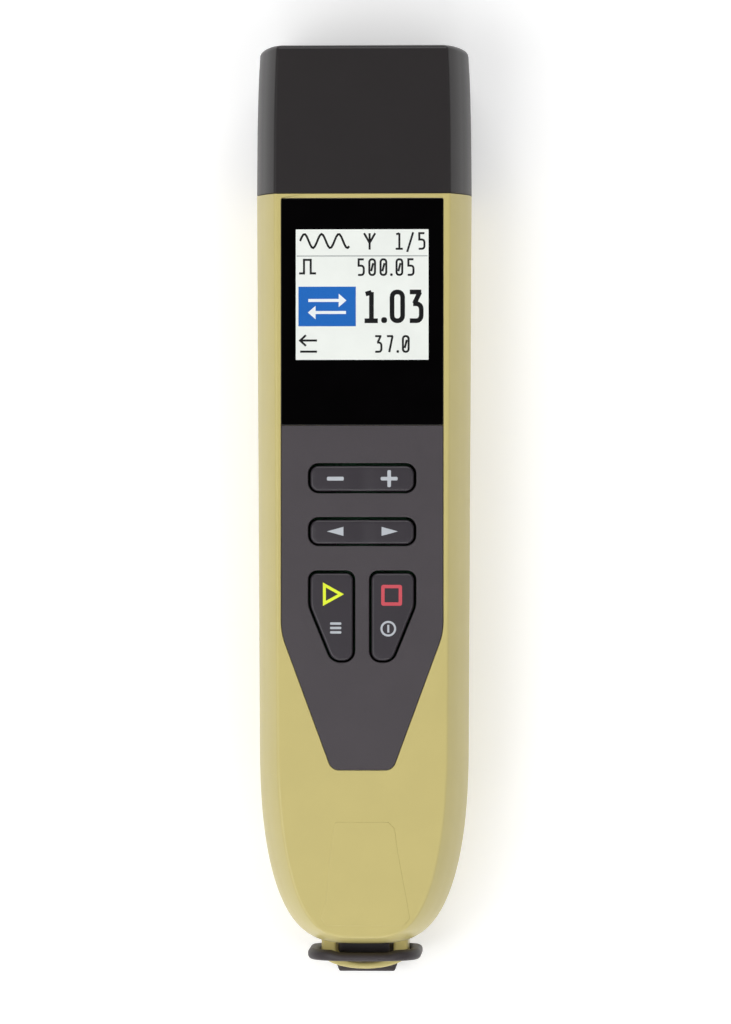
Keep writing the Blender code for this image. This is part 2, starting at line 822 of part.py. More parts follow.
ribbon_top_y = display_y - display_length / 2
connector_y = ribbon_top_y - ribbon_reach - ribbon_connector_length / 2
place("ribbon_connector", block(
    window_width * ribbon_connector_share, ribbon_connector_length, board_top_height + seat_gap,
    board_top_height + seat_gap + ribbon_connector_height, (0.0, connector_y),
), white)
ribbon_start = Vector((ribbon_top_y - seat_gap, display_low_height + display_thickness / 2))
ribbon_end = Vector((connector_y + ribbon_connector_length / 2 + seat_gap,
                     board_top_height + seat_gap + ribbon_connector_height / 2))
ribbon_side = []
for step in range(ribbon_steps + 1):
    share = step / ribbon_steps
    bend = (1 - math.cos(math.pi * share)) / 2
    ribbon_side.append((
        ribbon_start.x + (ribbon_end.x - ribbon_start.x) * share,
        ribbon_start.y + (ribbon_end.y - ribbon_start.y) * bend,
    ))
ribbon = bmesh.new()
half_ribbon = Vector((0.0, ribbon_thickness / 2))
section = [Vector(point) + half_ribbon for point in ribbon_side]
section += [Vector(point) - half_ribbon for point in reversed(ribbon_side)]
half_ribbon_width = window_width * ribbon_width_share / 2
edges_x = (-half_ribbon_width, half_ribbon_width)
ends = [[ribbon.verts.new((x, point.x, point.y)) for point in section] for x in edges_x]
ribbon.faces.new(ends[0])
ribbon.faces.new(ends[1])
for index in range(len(section)):
    after = (index + 1) % len(section)
    ribbon.faces.new((ends[0][index], ends[0][after], ends[1][after], ends[1][index]))
place("display_ribbon", ribbon, amber)

processor_low = board_top_height + seat_gap
place("processor", block(
    processor_size, processor_size, processor_low, processor_low + processor_thickness,
    (0.0, side_key_switch_y - switch_size / 2 - processor_gap - processor_size / 2),
), black)

shield_length = case_length * shield_length_share
shield_width = 2 * (case_screw_side - rear_post_radius - shield_side_gap)
shield_y = board_top_y - case_length * shield_head_gap_share - shield_length / 2
shield_top = board_low_height - seat_gap
shield = place("shield_can", block(
    shield_width, shield_length, shield_top - shield_height, shield_top, (0.0, shield_y)
), nickel)
cut(shield, block(
    shield_width - 2 * shield_wall, shield_length - 2 * shield_wall,
    shield_top - shield_height + shield_wall, shield_top + overrun, (0.0, shield_y),
))

buzzer_side = board_screw_side - board_screw_head_radius - buzzer_radius - buzzer_screw_gap
buzzer_spot = (buzzer_side, shield_y - shield_length / 2 - buzzer_radius - slide_gap)
buzzer_low = shield_top - buzzer_height
buzzer = place("buzzer", prism(circle(buzzer_radius, buzzer_spot), buzzer_low, shield_top), black)
cut(buzzer, peg(buzzer_hole_radius, buzzer_spot, buzzer_low - overrun, buzzer_low + buzzer_hole_depth))

# Socket housing: a neck that stands out of the case, with a flange behind the end walls
neck_outline = end_outline(neck_width, neck_depth, socket_height, neck_radius)
flange_outline = end_outline(neck_width, neck_depth, socket_height, neck_radius, flange_rim)
housing = place("socket_housing", prism(neck_outline, flange_top_y - overlap, neck_top_y, "Y"), light_metal)
join(housing, prism(flange_outline, flange_low_y, flange_top_y, "Y"))
tail_bore = circle(socket_tail_radius + seat_gap, (0.0, socket_height))
cut(housing, prism(tail_bore, flange_low_y - overrun, neck_top_y + overrun, "Y"))

seal_y = joint_y + neck_seal_rise


def neck_band(inner_room, outer_room, low, high):
    """A band round the housing's neck, as a ring cut by a smaller outline."""
    outer = end_outline(neck_width, neck_depth, socket_height, neck_radius, outer_room)
    inner = end_outline(neck_width, neck_depth, socket_height, neck_radius, -inner_room)
    made = bmesh.new()
    rings = []
    for outline, y in ((outer, low), (inner, low), (inner, high), (outer, high)):
        rings.append([made.verts.new((u, y, v)) for u, v in outline])
    for first, second in zip(rings, rings[1:] + rings[:1]):
        for index in range(len(first)):
            after = (index + 1) % len(first)
            made.faces.new((first[index], first[after], second[after], second[index]))
    return made


cut(housing, neck_band(
    neck_seal_sink + seat_gap, overrun, seal_y - seat_gap, seal_y + neck_seal_height + seat_gap
))
place("neck_seal", neck_band(neck_seal_sink, neck_seal_proud, seal_y, seal_y + neck_seal_height), seal_grey)

# Antenna socket
socket_seat_radius = neck_depth / 2 - socket_seat_margin
socket_low_y = neck_top_y + seat_gap
seat_top_y = socket_low_y + socket_seat_thickness
socket_top_y = seat_top_y + socket_length
socket_floor_y = socket_top_y - socket_mouth_depth
place("socket_body", turned([
    (socket_core_radius, flange_low_y), (socket_core_radius, socket_floor_y),
    (socket_mouth_radius, socket_floor_y), (socket_mouth_radius, socket_top_y),
    (socket_radius - socket_edge_round, socket_top_y), (socket_radius, socket_top_y - socket_edge_round),
    (socket_radius, seat_top_y), (socket_seat_radius, seat_top_y), (socket_seat_radius, socket_low_y),
    (socket_tail_radius, socket_low_y), (socket_tail_radius, flange_low_y),
], socket_height), nickel)
insulator_low_y = socket_floor_y + seat_gap
insulator_top_y = insulator_low_y + insulator_length
place("socket_insulator", turned([
    (contact_radius + seat_gap, insulator_low_y), (contact_radius + seat_gap, insulator_top_y),
    (socket_mouth_radius - seat_gap, insulator_top_y), (socket_mouth_radius - seat_gap, insulator_low_y),
], socket_height), white)
contact_top_y = socket_top_y - contact_recess
place("socket_contact", turned([
    (0.0, contact_top_y - contact_bore_depth), (contact_bore_radius, contact_top_y - contact_bore_depth),
    (contact_bore_radius, contact_top_y), (contact_radius, contact_top_y), (contact_radius, flange_low_y),
    (0.0, flange_low_y),
], socket_height, small_round_steps), gold)

# Socket cap
cap_top_y = overall_length / 2


def cap_section(side_inset, front_inset_here):
    """The case's section, seen along the object, drawn in towards the cap's crown."""
    half = case_half_width_top - side_inset
    front = case_depth - front_inset_here
    right = [(half - facet_width + ridge_round, front), (half, facet_foot_height)]
    for height_share, side_share, end_share in reversed(back_level_shares):
        low = front_inset_here + (split_height - front_inset_here) * height_share
        right.append((half - back_side_inset * side_share, low))
    return right + [(-x, z) for x, z in reversed(right)]


flare_y = joint_y + seat_gap + (cap_length - seat_gap) * cap_flare_share
cap = place("socket_cap", loft([
    (cap_section(0.0, 0.0), joint_y + seat_gap),
    (cap_section(cap_lower_flare, 0.0), flare_y),
    (cap_section(cap_top_side_inset / 2, cap_front_inset / 2), cap_top_y - cap_top_edge),
    (cap_section(cap_top_side_inset, cap_front_inset), cap_top_y - cap_top_edge * cap_shoulder_share),
    (cap_section(cap_crown_inset, cap_crown_front_inset), cap_top_y),
], "Y"), cap_dark)
cap_room = neck_seal_proud + seat_gap
cap_hollow = end_outline(neck_width, neck_depth, socket_height, neck_radius, cap_room)
cut(cap, prism(cap_hollow, joint_y - overrun, cap_top_y - cap_top_wall, "Y"))

# Coax lead from the socket to the board
lead = bpy.data.curves.new("coax_lead", "CURVE")
lead.dimensions = "3D"
lead.bevel_depth = coax_radius
lead.bevel_resolution = lead_round_steps
lead.use_fill_caps = True
lead.resolution_u = lead_steps
path = lead.splines.new("BEZIER")
path.bezier_points.add(1)
lead_start = Vector((0.0, flange_low_y - seat_gap, socket_height))
lead_end = Vector((0.0, lead_start.y - coax_reach, board_low_height - seat_gap))
lead_turn = Vector((0.0, lead_end.y, lead_start.z))
for point, position in zip(path.bezier_points, (lead_start, lead_end)):
    towards_turn = (lead_turn - position) * coax_bend_share
    along = 1 if position == lead_start else -1
    point.co = position
    point.handle_right = position + towards_turn * along
    point.handle_left = position - towards_turn * along
lead.materials.append(black)
bpy.context.scene.collection.objects.link(bpy.data.objects.new("coax_lead", lead))

# Battery
cell_length = case_length * cell_length_share
cell_radius = (board_low_height - cell_board_gap - back_wall - cell_floor_gap) / 2
cell_height = board_low_height - cell_board_gap - cell_radius
contact_room = battery_contact_thickness + 2 * seat_gap
cell_low_y = case_screw_low_y + rear_post_radius + cradle_post_gap + cradle_wall + contact_room
cell_top_y = cell_low_y + cell_length
cell_body_y = cell_top_y - cell_button_height
place("battery_cell", turned([
    (0.0, cell_low_y), (cell_radius, cell_low_y), (cell_radius, cell_body_y),
    (cell_button_radius, cell_body_y), (cell_button_radius, cell_top_y), (0.0, cell_top_y),
], cell_height), wrap)
cradle_low_height = back_wall + seat_gap
cradle_length = cell_length + 2 * (contact_room + cradle_wall)
cradle_y = (cell_top_y + cell_low_y) / 2
cradle = place("battery_cradle", block(
    2 * (cell_radius + cradle_side_wall), cradle_length,
    cradle_low_height, cradle_low_height + cradle_rail_height, (0.0, cradle_y),
), black)
cell_room = circle(cell_radius + seat_gap, (0.0, cell_height))
cut(cradle, prism(cell_room, cell_low_y - contact_room, cell_top_y + contact_room, "Y"))
for name, low in (
    ("battery_contact_plus", cell_top_y + seat_gap),
    ("battery_contact_minus", cell_low_y - seat_gap - battery_contact_thickness),
):
    plate = rectangle(
        cell_radius * battery_contact_width_share, cell_radius * battery_contact_height_share,
        (0.0, cell_height - seat_gap),
    )
    place(name, prism(plate, low, low + battery_contact_thickness, "Y"), nickel)

# Charging socket under the end of the board
usb_mouth_y = tail_y + usb_tail_gap
usb_radius = usb_height * port_round_share
usb_outline = end_outline(usb_width, usb_height, port_height, usb_radius)
usb_hollow = end_outline(usb_width, usb_height, port_height, usb_radius, -usb_wall)
usb = place("charging_socket", prism(usb_outline, usb_mouth_y, usb_mouth_y + usb_length, "Y"), steel)
cut(usb, prism(usb_hollow, usb_mouth_y - overrun, usb_mouth_y + usb_mouth_depth, "Y"))

# Dust cover, one moulding: a ring round the legs of the eye, the port plug in front, a pull tab behind
ring_height = (ring_low_height + ring_high_height) / 2
ring_span = ring_high_height - ring_low_height
ring_outline = end_outline(ring_width, ring_span, ring_height, ring_corner_radius)
dust_cover = place("dust_cover", prism(ring_outline, ring_low_y, ring_top_y, "Y"), rubber)
hole_width = eye_outer_width + 2 * slide_gap
hole_outline = end_outline(hole_width, ring_span - 2 * ring_bar, ring_height, ring_corner_radius - ring_bar)
cut(dust_cover, prism(hole_outline, ring_low_y - overrun, ring_top_y + overrun, "Y"))
tab_foot_y = -overall_length / 2
tab_root_y = ring_low_y + overlap
tab_root_half = tab_width / 2 + (tab_root_y - tab_foot_y) * tab_flare_share
tab_corners = [
    (-tab_width / 2, tab_foot_y), (tab_width / 2, tab_foot_y),
    (tab_root_half, tab_root_y), (-tab_root_half, tab_root_y),
]
join(dust_cover, prism(tab_corners, ring_low_height, ring_low_height + ring_bar))
plug_top_y = usb_mouth_y - plug_shoulder
plug_low_height = port_height - plug_height / 2
web_top_height = ring_high_height - ring_bar / 2
web = rectangle(plug_width, web_top_height - plug_low_height, (0.0, (web_top_height + plug_low_height) / 2))
join(dust_cover, prism(web, ring_low_y, ring_top_y, "Y"))
plug_outline = end_outline(plug_width, plug_height, port_height, plug_radius)
join(dust_cover, prism(plug_outline, ring_top_y - overlap, plug_top_y, "Y"))
insert_outline = end_outline(usb_width, usb_height, port_height, usb_radius, -usb_wall - seat_gap)
join(dust_cover, prism(insert_outline, plug_top_y - overlap, plug_top_y + plug_insert_length, "Y"))
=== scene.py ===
import math

import bmesh
import bpy
from mathutils import Matrix, Vector


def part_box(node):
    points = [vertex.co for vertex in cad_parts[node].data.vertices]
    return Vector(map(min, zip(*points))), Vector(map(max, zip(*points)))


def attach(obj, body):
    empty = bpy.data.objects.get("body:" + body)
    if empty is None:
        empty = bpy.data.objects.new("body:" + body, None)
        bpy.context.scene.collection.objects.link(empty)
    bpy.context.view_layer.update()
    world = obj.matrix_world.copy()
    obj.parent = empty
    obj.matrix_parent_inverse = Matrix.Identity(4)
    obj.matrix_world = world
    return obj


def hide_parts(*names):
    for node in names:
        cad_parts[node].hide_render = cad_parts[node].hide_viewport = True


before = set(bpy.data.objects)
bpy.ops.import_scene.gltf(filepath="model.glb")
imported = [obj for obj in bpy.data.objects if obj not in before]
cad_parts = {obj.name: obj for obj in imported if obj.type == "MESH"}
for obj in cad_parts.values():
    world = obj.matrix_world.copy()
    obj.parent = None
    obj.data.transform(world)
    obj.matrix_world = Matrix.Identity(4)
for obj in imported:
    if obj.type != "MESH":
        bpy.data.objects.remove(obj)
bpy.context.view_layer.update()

# Rear cover. The back half of the case: one tray moulded in sand-coloured plastic, with a flat back,
# rounded sides and a round tail. A strap eye stands out of the tail, and four screws are sunk in its back.
mm = 0.001
half_width_top, half_width_low = 22.4 * mm, 21.8 * mm
joint_y, kink_y = 66.1 * mm, -20.3 * mm
tail_start_y, tail_y = -47.78 * mm, -89.9 * mm
split_height, front_height = 19.0 * mm, 30.5 * mm
wall, end_wall = 2.0 * mm, 2.2 * mm
seam = 0.15 * mm
lip_inset, lip_break, lip_rise = 0.02 * mm, 0.12 * mm, 0.33 * mm
back_side, back_end = 7.2 * mm, 8.0 * mm
back_ease, side_power, end_power = 0.8, 3.1, 2.6
tail_fullness, rim_power, face_power = 3.5, 2.3, 2.0
overrun = 2.0 * mm
end_steps, straight_steps, low_steps, tail_steps = 6, 20, 8, 36
weld, sliver = 0.002 * mm, 0.001 * mm


def moulded(name, colour, roughness, grain, relief, mottle=0.06, metallic=0.0, coat=0.0):
    """Plastic, rubber or metal as it is made: a fine grain, a faint cloud of tone and an uneven gloss.

    Colour and roughness come first, then the grain's size and strength, and how far the tone varies."""
    cloud_scale, gloss_swing = 140, 0.08
    made = bpy.data.materials.new(name)
    made.use_nodes = True
    nodes, links = made.node_tree.nodes, made.node_tree.links
    shader = nodes["Principled BSDF"]
    shader.inputs["Metallic"].default_value = metallic
    shader.inputs["Coat Weight"].default_value = coat
    place = nodes.new("ShaderNodeTexCoord").outputs["Object"]
    cloud = nodes.new("ShaderNodeTexNoise")
    cloud.inputs["Scale"].default_value = cloud_scale
    cloud.inputs["Detail"].default_value = 4
    links.new(place, cloud.inputs["Vector"])
    tone = nodes.new("ShaderNodeValToRGB")
    for stop, share in zip(tone.color_ramp.elements, (1 - mottle, 1 + mottle)):
        stop.color = (*[min(1.0, part * share) for part in colour], 1)
    tone.color_ramp.elements[0].position = 0.35
    tone.color_ramp.elements[1].position = 0.65
    links.new(cloud.outputs["Fac"], tone.inputs["Fac"])
    links.new(tone.outputs["Color"], shader.inputs["Base Color"])
    fine = nodes.new("ShaderNodeTexNoise")
    fine.inputs["Scale"].default_value = 1 / grain
    fine.inputs["Detail"].default_value = 3
    links.new(place, fine.inputs["Vector"])
    gloss = nodes.new("ShaderNodeMapRange")
    gloss.inputs["To Min"].default_value = max(0.02, roughness - gloss_swing)
    gloss.inputs["To Max"].default_value = min(1.0, roughness + gloss_swing)
    links.new(fine.outputs["Fac"], gloss.inputs["Value"])
    links.new(gloss.outputs["Result"], shader.inputs["Roughness"])
    bump = nodes.new("ShaderNodeBump")
    bump.inputs["Strength"].default_value = relief
    bump.inputs["Distance"].default_value = grain / 4
    links.new(fine.outputs["Fac"], bump.inputs["Height"])
    links.new(bump.outputs["Normal"], shader.inputs["Normal"])
    return made


def skin(made, rings, closed=True):
    """Quads between rings of equal counts."""
    drawn = [[made.verts.new(point) for point in ring] for ring in rings]
    count = len(drawn[0])
    for low, high in zip(drawn, drawn[1:]):
        for index in range(count if closed else count - 1):
            after = (index + 1) % count
            made.faces.new((low[index], low[after], high[after], high[index]))


def lid(made, *loops):
    """A flat face that closes one loop, or the part of it that further loops leave."""
    edges = []
    for loop in loops:
        points = [made.verts.new(point) for point in loop]
        edges += [made.edges.new(pair) for pair in zip(points, points[1:] + points[:1])]
    bmesh.ops.triangle_fill(made, use_beauty=True, use_dissolve=False, edges=edges)


def solid(rings):
    """A closed shape: sides through all the rings, and a flat face on the first and on the last."""
    made = bmesh.new()
    skin(made, rings)
    lid(made, rings[0])
    lid(made, rings[-1])
    return made


def settle(drawn, sharp=35):
    """Flat faces stay flat and rounded edges shade smoothly, with a crease at every sharper angle."""
    drawn.data.shade_smooth()
    drawn.data.set_sharp_from_angle(angle=math.radians(sharp))
    even = drawn.modifiers.new("even faces", "WEIGHTED_NORMAL")
    even.keep_sharp = True
    even.weight = 80


def piece(name, made, material, sharp=35):
    """A named piece of the object, from a shape whose matching points are joined first."""
    bmesh.ops.remove_doubles(made, verts=made.verts, dist=weld)
    bmesh.ops.dissolve_degenerate(made, edges=made.edges, dist=sliver)
    bmesh.ops.recalc_face_normals(made, faces=made.faces)
    mesh = bpy.data.meshes.new(name)
    made.to_mesh(mesh)
    made.free()
    mesh.materials.append(material)
    drawn = bpy.data.objects.new(name, mesh)
    bpy.context.scene.collection.objects.link(drawn)
    settle(drawn, sharp)
    return drawn


def carve(target, made, operation="DIFFERENCE"):
    """Cuts a shape out of a piece, or welds it on, and keeps the result as the piece's own mesh."""
    bmesh.ops.remove_doubles(made, verts=made.verts, dist=weld)
    bmesh.ops.recalc_face_normals(made, faces=made.faces)
    mesh = bpy.data.meshes.new("tool")
    made.to_mesh(mesh)
    made.free()
    tool = bpy.data.objects.new("tool", mesh)
    bpy.context.scene.collection.objects.link(tool)
    target.modifiers.clear()
    boolean = target.modifiers.new("boolean", "BOOLEAN")
    boolean.operation = operation
    boolean.solver = "EXACT"
    boolean.object = tool
    bpy.context.view_layer.update()
    result = target.evaluated_get(bpy.context.evaluated_depsgraph_get())
    carved = bpy.data.meshes.new_from_object(result)
    target.modifiers.clear()
    old = target.data
    target.data = carved
    bpy.data.meshes.remove(old)
    bpy.data.objects.remove(tool)
    bpy.data.meshes.remove(mesh)
    settle(target)


def sized(points):
    """Points written in millimetres, as the metres that everything here is built in."""
    return [tuple(value * mm for value in point) for point in points]


def rectangle(width, length, centre=(0.0, 0.0)):
    x, y = centre
    return [(x - width / 2, y - length / 2), (x + width / 2, y - length / 2),
            (x + width / 2, y + length / 2), (x - width / 2, y + length / 2)]


def circle(radius, centre=(0.0, 0.0), steps=40):
    angles = [2 * math.pi * step / steps for step in range(steps)]
    return [(centre[0] + radius * math.cos(a), centre[1] + radius * math.sin(a)) for a in angles]


def widened(corners, distance):
    """An anticlockwise outline with each straight side moved outwards."""
    moved = []
    for index, corner in enumerate(corners):
        corner = Vector(corner)
        arriving = (corner - Vector(corners[index - 1])).normalized()
        leaving = (Vector(corners[(index + 1) % len(corners)]) - corner).normalized()
        first, second = Vector((arriving.y, -arriving.x)), Vector((leaving.y, -leaving.x))
        moved.append(tuple(corner + (first + second) * distance / (1 + first.dot(second))))
    return moved


def rounded(corners, radii, arc_steps=8, side_steps=1):
    """An outline with an arc at each corner and evenly spaced points along each side."""
    if not isinstance(radii, (list, tuple)):
        radii = [radii] * len(corners)
    arcs = []
    for index, corner in enumerate(corners):
        corner = Vector(corner)
        back = (Vector(corners[index - 1]) - corner).normalized()
        ahead = (Vector(corners[(index + 1) % len(corners)]) - corner).normalized()
        half_angle = math.acos(max(-1.0, min(1.0, back.dot(ahead)))) / 2
        reach = radii[index] / math.tan(half_angle)
        centre = corner + (back + ahead).normalized() * radii[index] / math.sin(half_angle)
        first, last = corner + back * reach - centre, corner + ahead * reach - centre
        start = math.atan2(first.y, first.x)
        sweep = (math.atan2(last.y, last.x) - start + math.pi) % (2 * math.pi) - math.pi
        angles = [start + sweep * step / arc_steps for step in range(arc_steps + 1)]
        arcs.append([centre + Vector((math.cos(a), math.sin(a))) * radii[index] for a in angles])
    points = []
    for index, arc in enumerate(arcs):
        points += arc
        after = arcs[(index + 1) % len(arcs)][0]
        points += [arc[-1].lerp(after, step / side_steps) for step in range(1, side_steps)]
    return [tuple(point) for point in points]


def flat(outline, height):
    return [(x, y, height) for x, y in outline]


def upright(outline, y):
    """The same outline stood up in the plane across the object."""
    return [(u, y, v) for u, v in outline]


def bar_along_y(section, low_y, high_y):
    """A bar to cut with or to weld on."""
    return solid([upright(section, low_y), upright(section, high_y)])


def well_cutter(radius, centre, face, depth, edge):
    """An upright round cutter for a hole in a low face, wider at that face to break the hole's edge."""
    profile = ((radius + edge, face - overrun), (radius + edge, face), (radius, face + edge), (radius, depth))
    return solid([flat(circle(r, centre, 48), z) for r, z in profile])


def case_loop(side_inset, end_inset, share=0.0, top_y=joint_y):
    """The case's outline: straight sides that close in a round tail, slimmer by the insets.

    The share turns the tail from the rim's full curve to the tighter one of the front face."""
    top, low = half_width_top - side_inset, half_width_low - side_inset
    slope = (top - low) / (joint_y - tail_start_y)
    right = [(top * step / end_steps, top_y) for step in range(end_steps)]
    stations = [top_y + (kink_y - top_y) * step / straight_steps for step in range(straight_steps + 1)]
    stations += [kink_y + (tail_start_y - kink_y) * step / low_steps for step in range(1, low_steps + 1)]
    right += [(top - slope * (joint_y - y), y) for y in stations]
    reach = tail_start_y - tail_y - end_inset
    for step in range(1, tail_steps + 1):
        angle = math.pi / 2 * step / tail_steps
        across = max(math.cos(angle), 0.0) ** (2 / tail_fullness) if step < tail_steps else 0.0
        rim, face = (math.sin(angle) ** (2 / power) for power in (rim_power, face_power))
        right.append((low * across, tail_start_y - reach * (rim * (1 - share) + face * share)))
    return right + [(-x, y) for x, y in reversed(right[1:-1])]


def back_round(share):
    """How far the rounded back stands in at its sides and at its tail, at a share of the seam's height."""
    left = 1 - share ** back_ease
    return back_side * left ** side_power, back_end * left ** end_power


sand_plastic = moulded("sand plastic", (0.585, 0.500, 0.192), 0.36, 0.22 * mm, 0.14, 0.012)

# shares of the height up to the seam, closer together where the back curves most
outer_shares = (0, 0.004, 0.012, 0.025, 0.045, 0.07, 0.1, 0.14, 0.19,
                0.25, 0.32, 0.4, 0.5, 0.62, 0.74, 0.87, 0.95)
inner_shares = (1.0, 0.6, 0.32, 0.2, 0.13, 0.116)
rings = []
for share in outer_shares:
    side, end = back_round(share)
    rings.append(flat(case_loop(side, end), split_height * share))
rings.append(flat(case_loop(lip_inset, lip_inset), split_height - lip_rise))
rings.append(flat(case_loop(lip_break, lip_break), split_height - seam / 2))
for share in inner_shares:
    side, end = back_round(share)
    level = split_height * share - (seam / 2 if share == 1.0 else 0)
    rings.append(flat(case_loop(wall + side, wall + end, 0.0, joint_y - end_wall), level))
rear_cover = piece("rear_cover_shell", solid(rings), sand_plastic)

eye_half, eye_hole_half = 9.1 * mm, 6.0 * mm
eye_root_y, eye_leg_y, eye_bow_y = -86.9 * mm, -90.5 * mm, -92.1 * mm
eye_bow, eye_hole_bow = 3.4 * mm, 2.1 * mm
eye_low, eye_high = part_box("rear_cover")[0].z + 6.5 * mm, 16.5 * mm
eye_edge, eye_steps = 0.6 * mm, 32


def eye_section(outside, inside):
    """One section of the strap eye, between a point on its outer outline and one on the hole's."""
    middle, across = (outside + inside) / 2, outside - inside
    direction = across.normalized()
    section = rectangle(across.length, eye_high - eye_low, (0.0, (eye_high + eye_low) / 2))
    section = rounded(section, eye_edge, 4)
    return [(middle.x + direction.x * u, middle.y + direction.y * u, v) for u, v in section]


rings = [eye_section(Vector((-eye_half, y)), Vector((-eye_hole_half, y))) for y in (eye_root_y, eye_leg_y)]
for step in range(eye_steps + 1):
    angle = math.pi * step / eye_steps
    outside = Vector((-eye_half * math.cos(angle), eye_bow_y - eye_bow * math.sin(angle)))
    inside = Vector((-eye_hole_half * math.cos(angle), eye_bow_y - eye_hole_bow * math.sin(angle)))
    rings.append(eye_section(outside, inside))
rings += [eye_section(Vector((eye_half, y)), Vector((eye_hole_half, y))) for y in (eye_leg_y, eye_root_y)]
carve(rear_cover, solid(rings), "UNION")

screw_places = sized([(-15.008, 23.9), (15.008, 23.9), (-11.2, -78.0), (11.2, -78.0)])
screw_well_radius, screw_well_depth, screw_well_edge = 2.7 * mm, 4.2 * mm, 0.25 * mm
for place in screw_places:
    carve(rear_cover, well_cutter(screw_well_radius, place, 0.0, screw_well_depth, screw_well_edge))
socket_height, port_height = 15.25 * mm, 19.9 * mm
neck_opening = rounded(rectangle(33.6 * mm, 21.6 * mm, (0.0, socket_height)), 4.8 * mm)
port_opening = rounded(rectangle(11.8 * mm, 5.4 * mm, (0.0, port_height)), 1.95 * mm)
neck_cut, port_cut = 4.0 * mm, 3.2 * mm


def open_ends(cover):
    """Cuts the openings for the antenna socket's neck and the charging port, which both covers share."""
    carve(cover, bar_along_y(neck_opening, joint_y - neck_cut, joint_y + overrun))
    carve(cover, bar_along_y(port_opening, tail_y - overrun, tail_y + port_cut))


open_ends(rear_cover)
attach(rear_cover, "case")
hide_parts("rear_cover")

# Battery. A round lithium cell in a blue sleeve, lying in a black cradle under the board, with a nickel
# strip at each end. It is sealed in the case, so its solids stay and get their finishes.
nickel_plate = moulded("nickel plate", (0.66, 0.63, 0.58), 0.27, 0.15 * mm, 0.06, 0.04, metallic=1.0)


def refinish(name, material):
    """Gives a solid that stays as it is its material."""
    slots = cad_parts[name].data.materials
    slots.clear()
    slots.append(material)


refinish("battery_cell", moulded("cell sleeve", (0.03, 0.11, 0.34), 0.30, 0.6 * mm, 0.10, 0.05, coat=0.3))
refinish("battery_cradle", moulded("cradle plastic", (0.022, 0.022, 0.023), 0.50, 0.25 * mm, 0.25))
for end in ("plus", "minus"):
    refinish(f"battery_contact_{end}", nickel_plate)

# Main board. A green glass-fibre board hung from the front cover by four small screws, with its chip,
# the shield can, the buzzer, the display's connector and the six key switches soldered to it.
solder_mask = moulded("green solder mask", (0.018, 0.13, 0.05), 0.36, 0.8 * mm, 0.15, 0.25, coat=0.2)
black_plastic = moulded("black plastic", (0.018, 0.018, 0.019), 0.42, 0.2 * mm, 0.20)
white_plastic = moulded("white plastic", (0.72, 0.72, 0.68), 0.45, 0.25 * mm, 0.12, 0.03)
plain_steel = moulded("plain steel", (0.42, 0.42, 0.43), 0.33, 0.12 * mm, 0.10, 0.06, metallic=1.0)
ribbon_film = moulded("amber ribbon", (0.48, 0.20, 0.03), 0.30, 0.5 * mm, 0.08, 0.08, coat=0.4)
refinish("main_board", solder_mask)
refinish("shield_can", nickel_plate)
refinish("display_ribbon", ribbon_film)
for name in ("processor", "buzzer", "coax_lead"):
    refinish(name, black_plastic)
for name in ("ribbon_connector", "display_frame"):
    refinish(name, white_plastic)
for key in ("minus", "plus", "left", "right", "start", "stop"):
    refinish(f"switch_{key}", black_plastic)
    refinish(f"plunger_{key}", white_plastic)
for count in range(1, 5):
    refinish(f"board_screw_{count}", plain_steel)

# Case seals. Thin strips of black rubber in the joint between the two covers, and a ring of it round the
# neck that the socket cap is pushed over.
seal_rubber = moulded("black seal rubber", (0.030, 0.030, 0.031), 0.70, 0.3 * mm, 0.30)
for name in ("case_seal_left", "case_seal_right", "neck_seal"):
    refinish(name, seal_rubber)

# Front cover. The other half of the case, in the same sand-coloured plastic: a flat face between two slanting
# side facets, with a shallow pocket that takes the window and the key plate.
plate_top_y, plate_kink_y, plate_foot_y = 18.1 * mm, -24.82 * mm, -53.2 * mm
pocket_top_y = 65.1 * mm
pocket_half, foot_half = 16.75 * mm, 6.3 * mm
plate_corners = [(-foot_half, plate_foot_y), (foot_half, plate_foot_y), (pocket_half, plate_kink_y),
                 (pocket_half, plate_top_y), (-pocket_half, plate_top_y), (-pocket_half, plate_kink_y)]
foot_radius, kink_radius, top_radius = 2.2 * mm, 14.0 * mm, 0.3 * mm
plate_radii = [foot_radius, foot_radius, kink_radius, top_radius, top_radius, kink_radius]


def pocket_loop(distance):
    """The pocket's outline with as many points as the case's, matched to it for clean faces between them.

    It runs down the right half from the middle of its top, and is mirrored for the left half."""
    corners = widened([(x, pocket_top_y if y == plate_top_y else y) for x, y in plate_corners], distance)
    arc, slant_steps, top_steps, run_steps = 12, 12, 3, 8
    traced = [Vector(point) for point in rounded(corners, [radius + distance for radius in plate_radii], arc)]
    foot, kink, top = (traced[corner * (arc + 1):(corner + 1) * (arc + 1)] for corner in (1, 2, 3))
    right = [Vector((0.0, top[-1].y)).lerp(top[-1], step / top_steps) for step in range(top_steps)]
    right += [top[arc], top[arc - 3], top[arc - 6]]
    right += [top[0].lerp(kink[-1], step / straight_steps) for step in range(straight_steps + 1)]
    right += reversed(kink[:-1])
    right += [kink[0].lerp(foot[-1], step / slant_steps) for step in range(1, slant_steps + 1)]
    right += reversed(foot[:-1])
    right += [foot[0].lerp(Vector((0.0, foot[0].y)), step / run_steps) for step in range(1, run_steps + 1)]
    return [tuple(point) for point in right] + [(-point.x, point.y) for point in reversed(right[1:-1])]


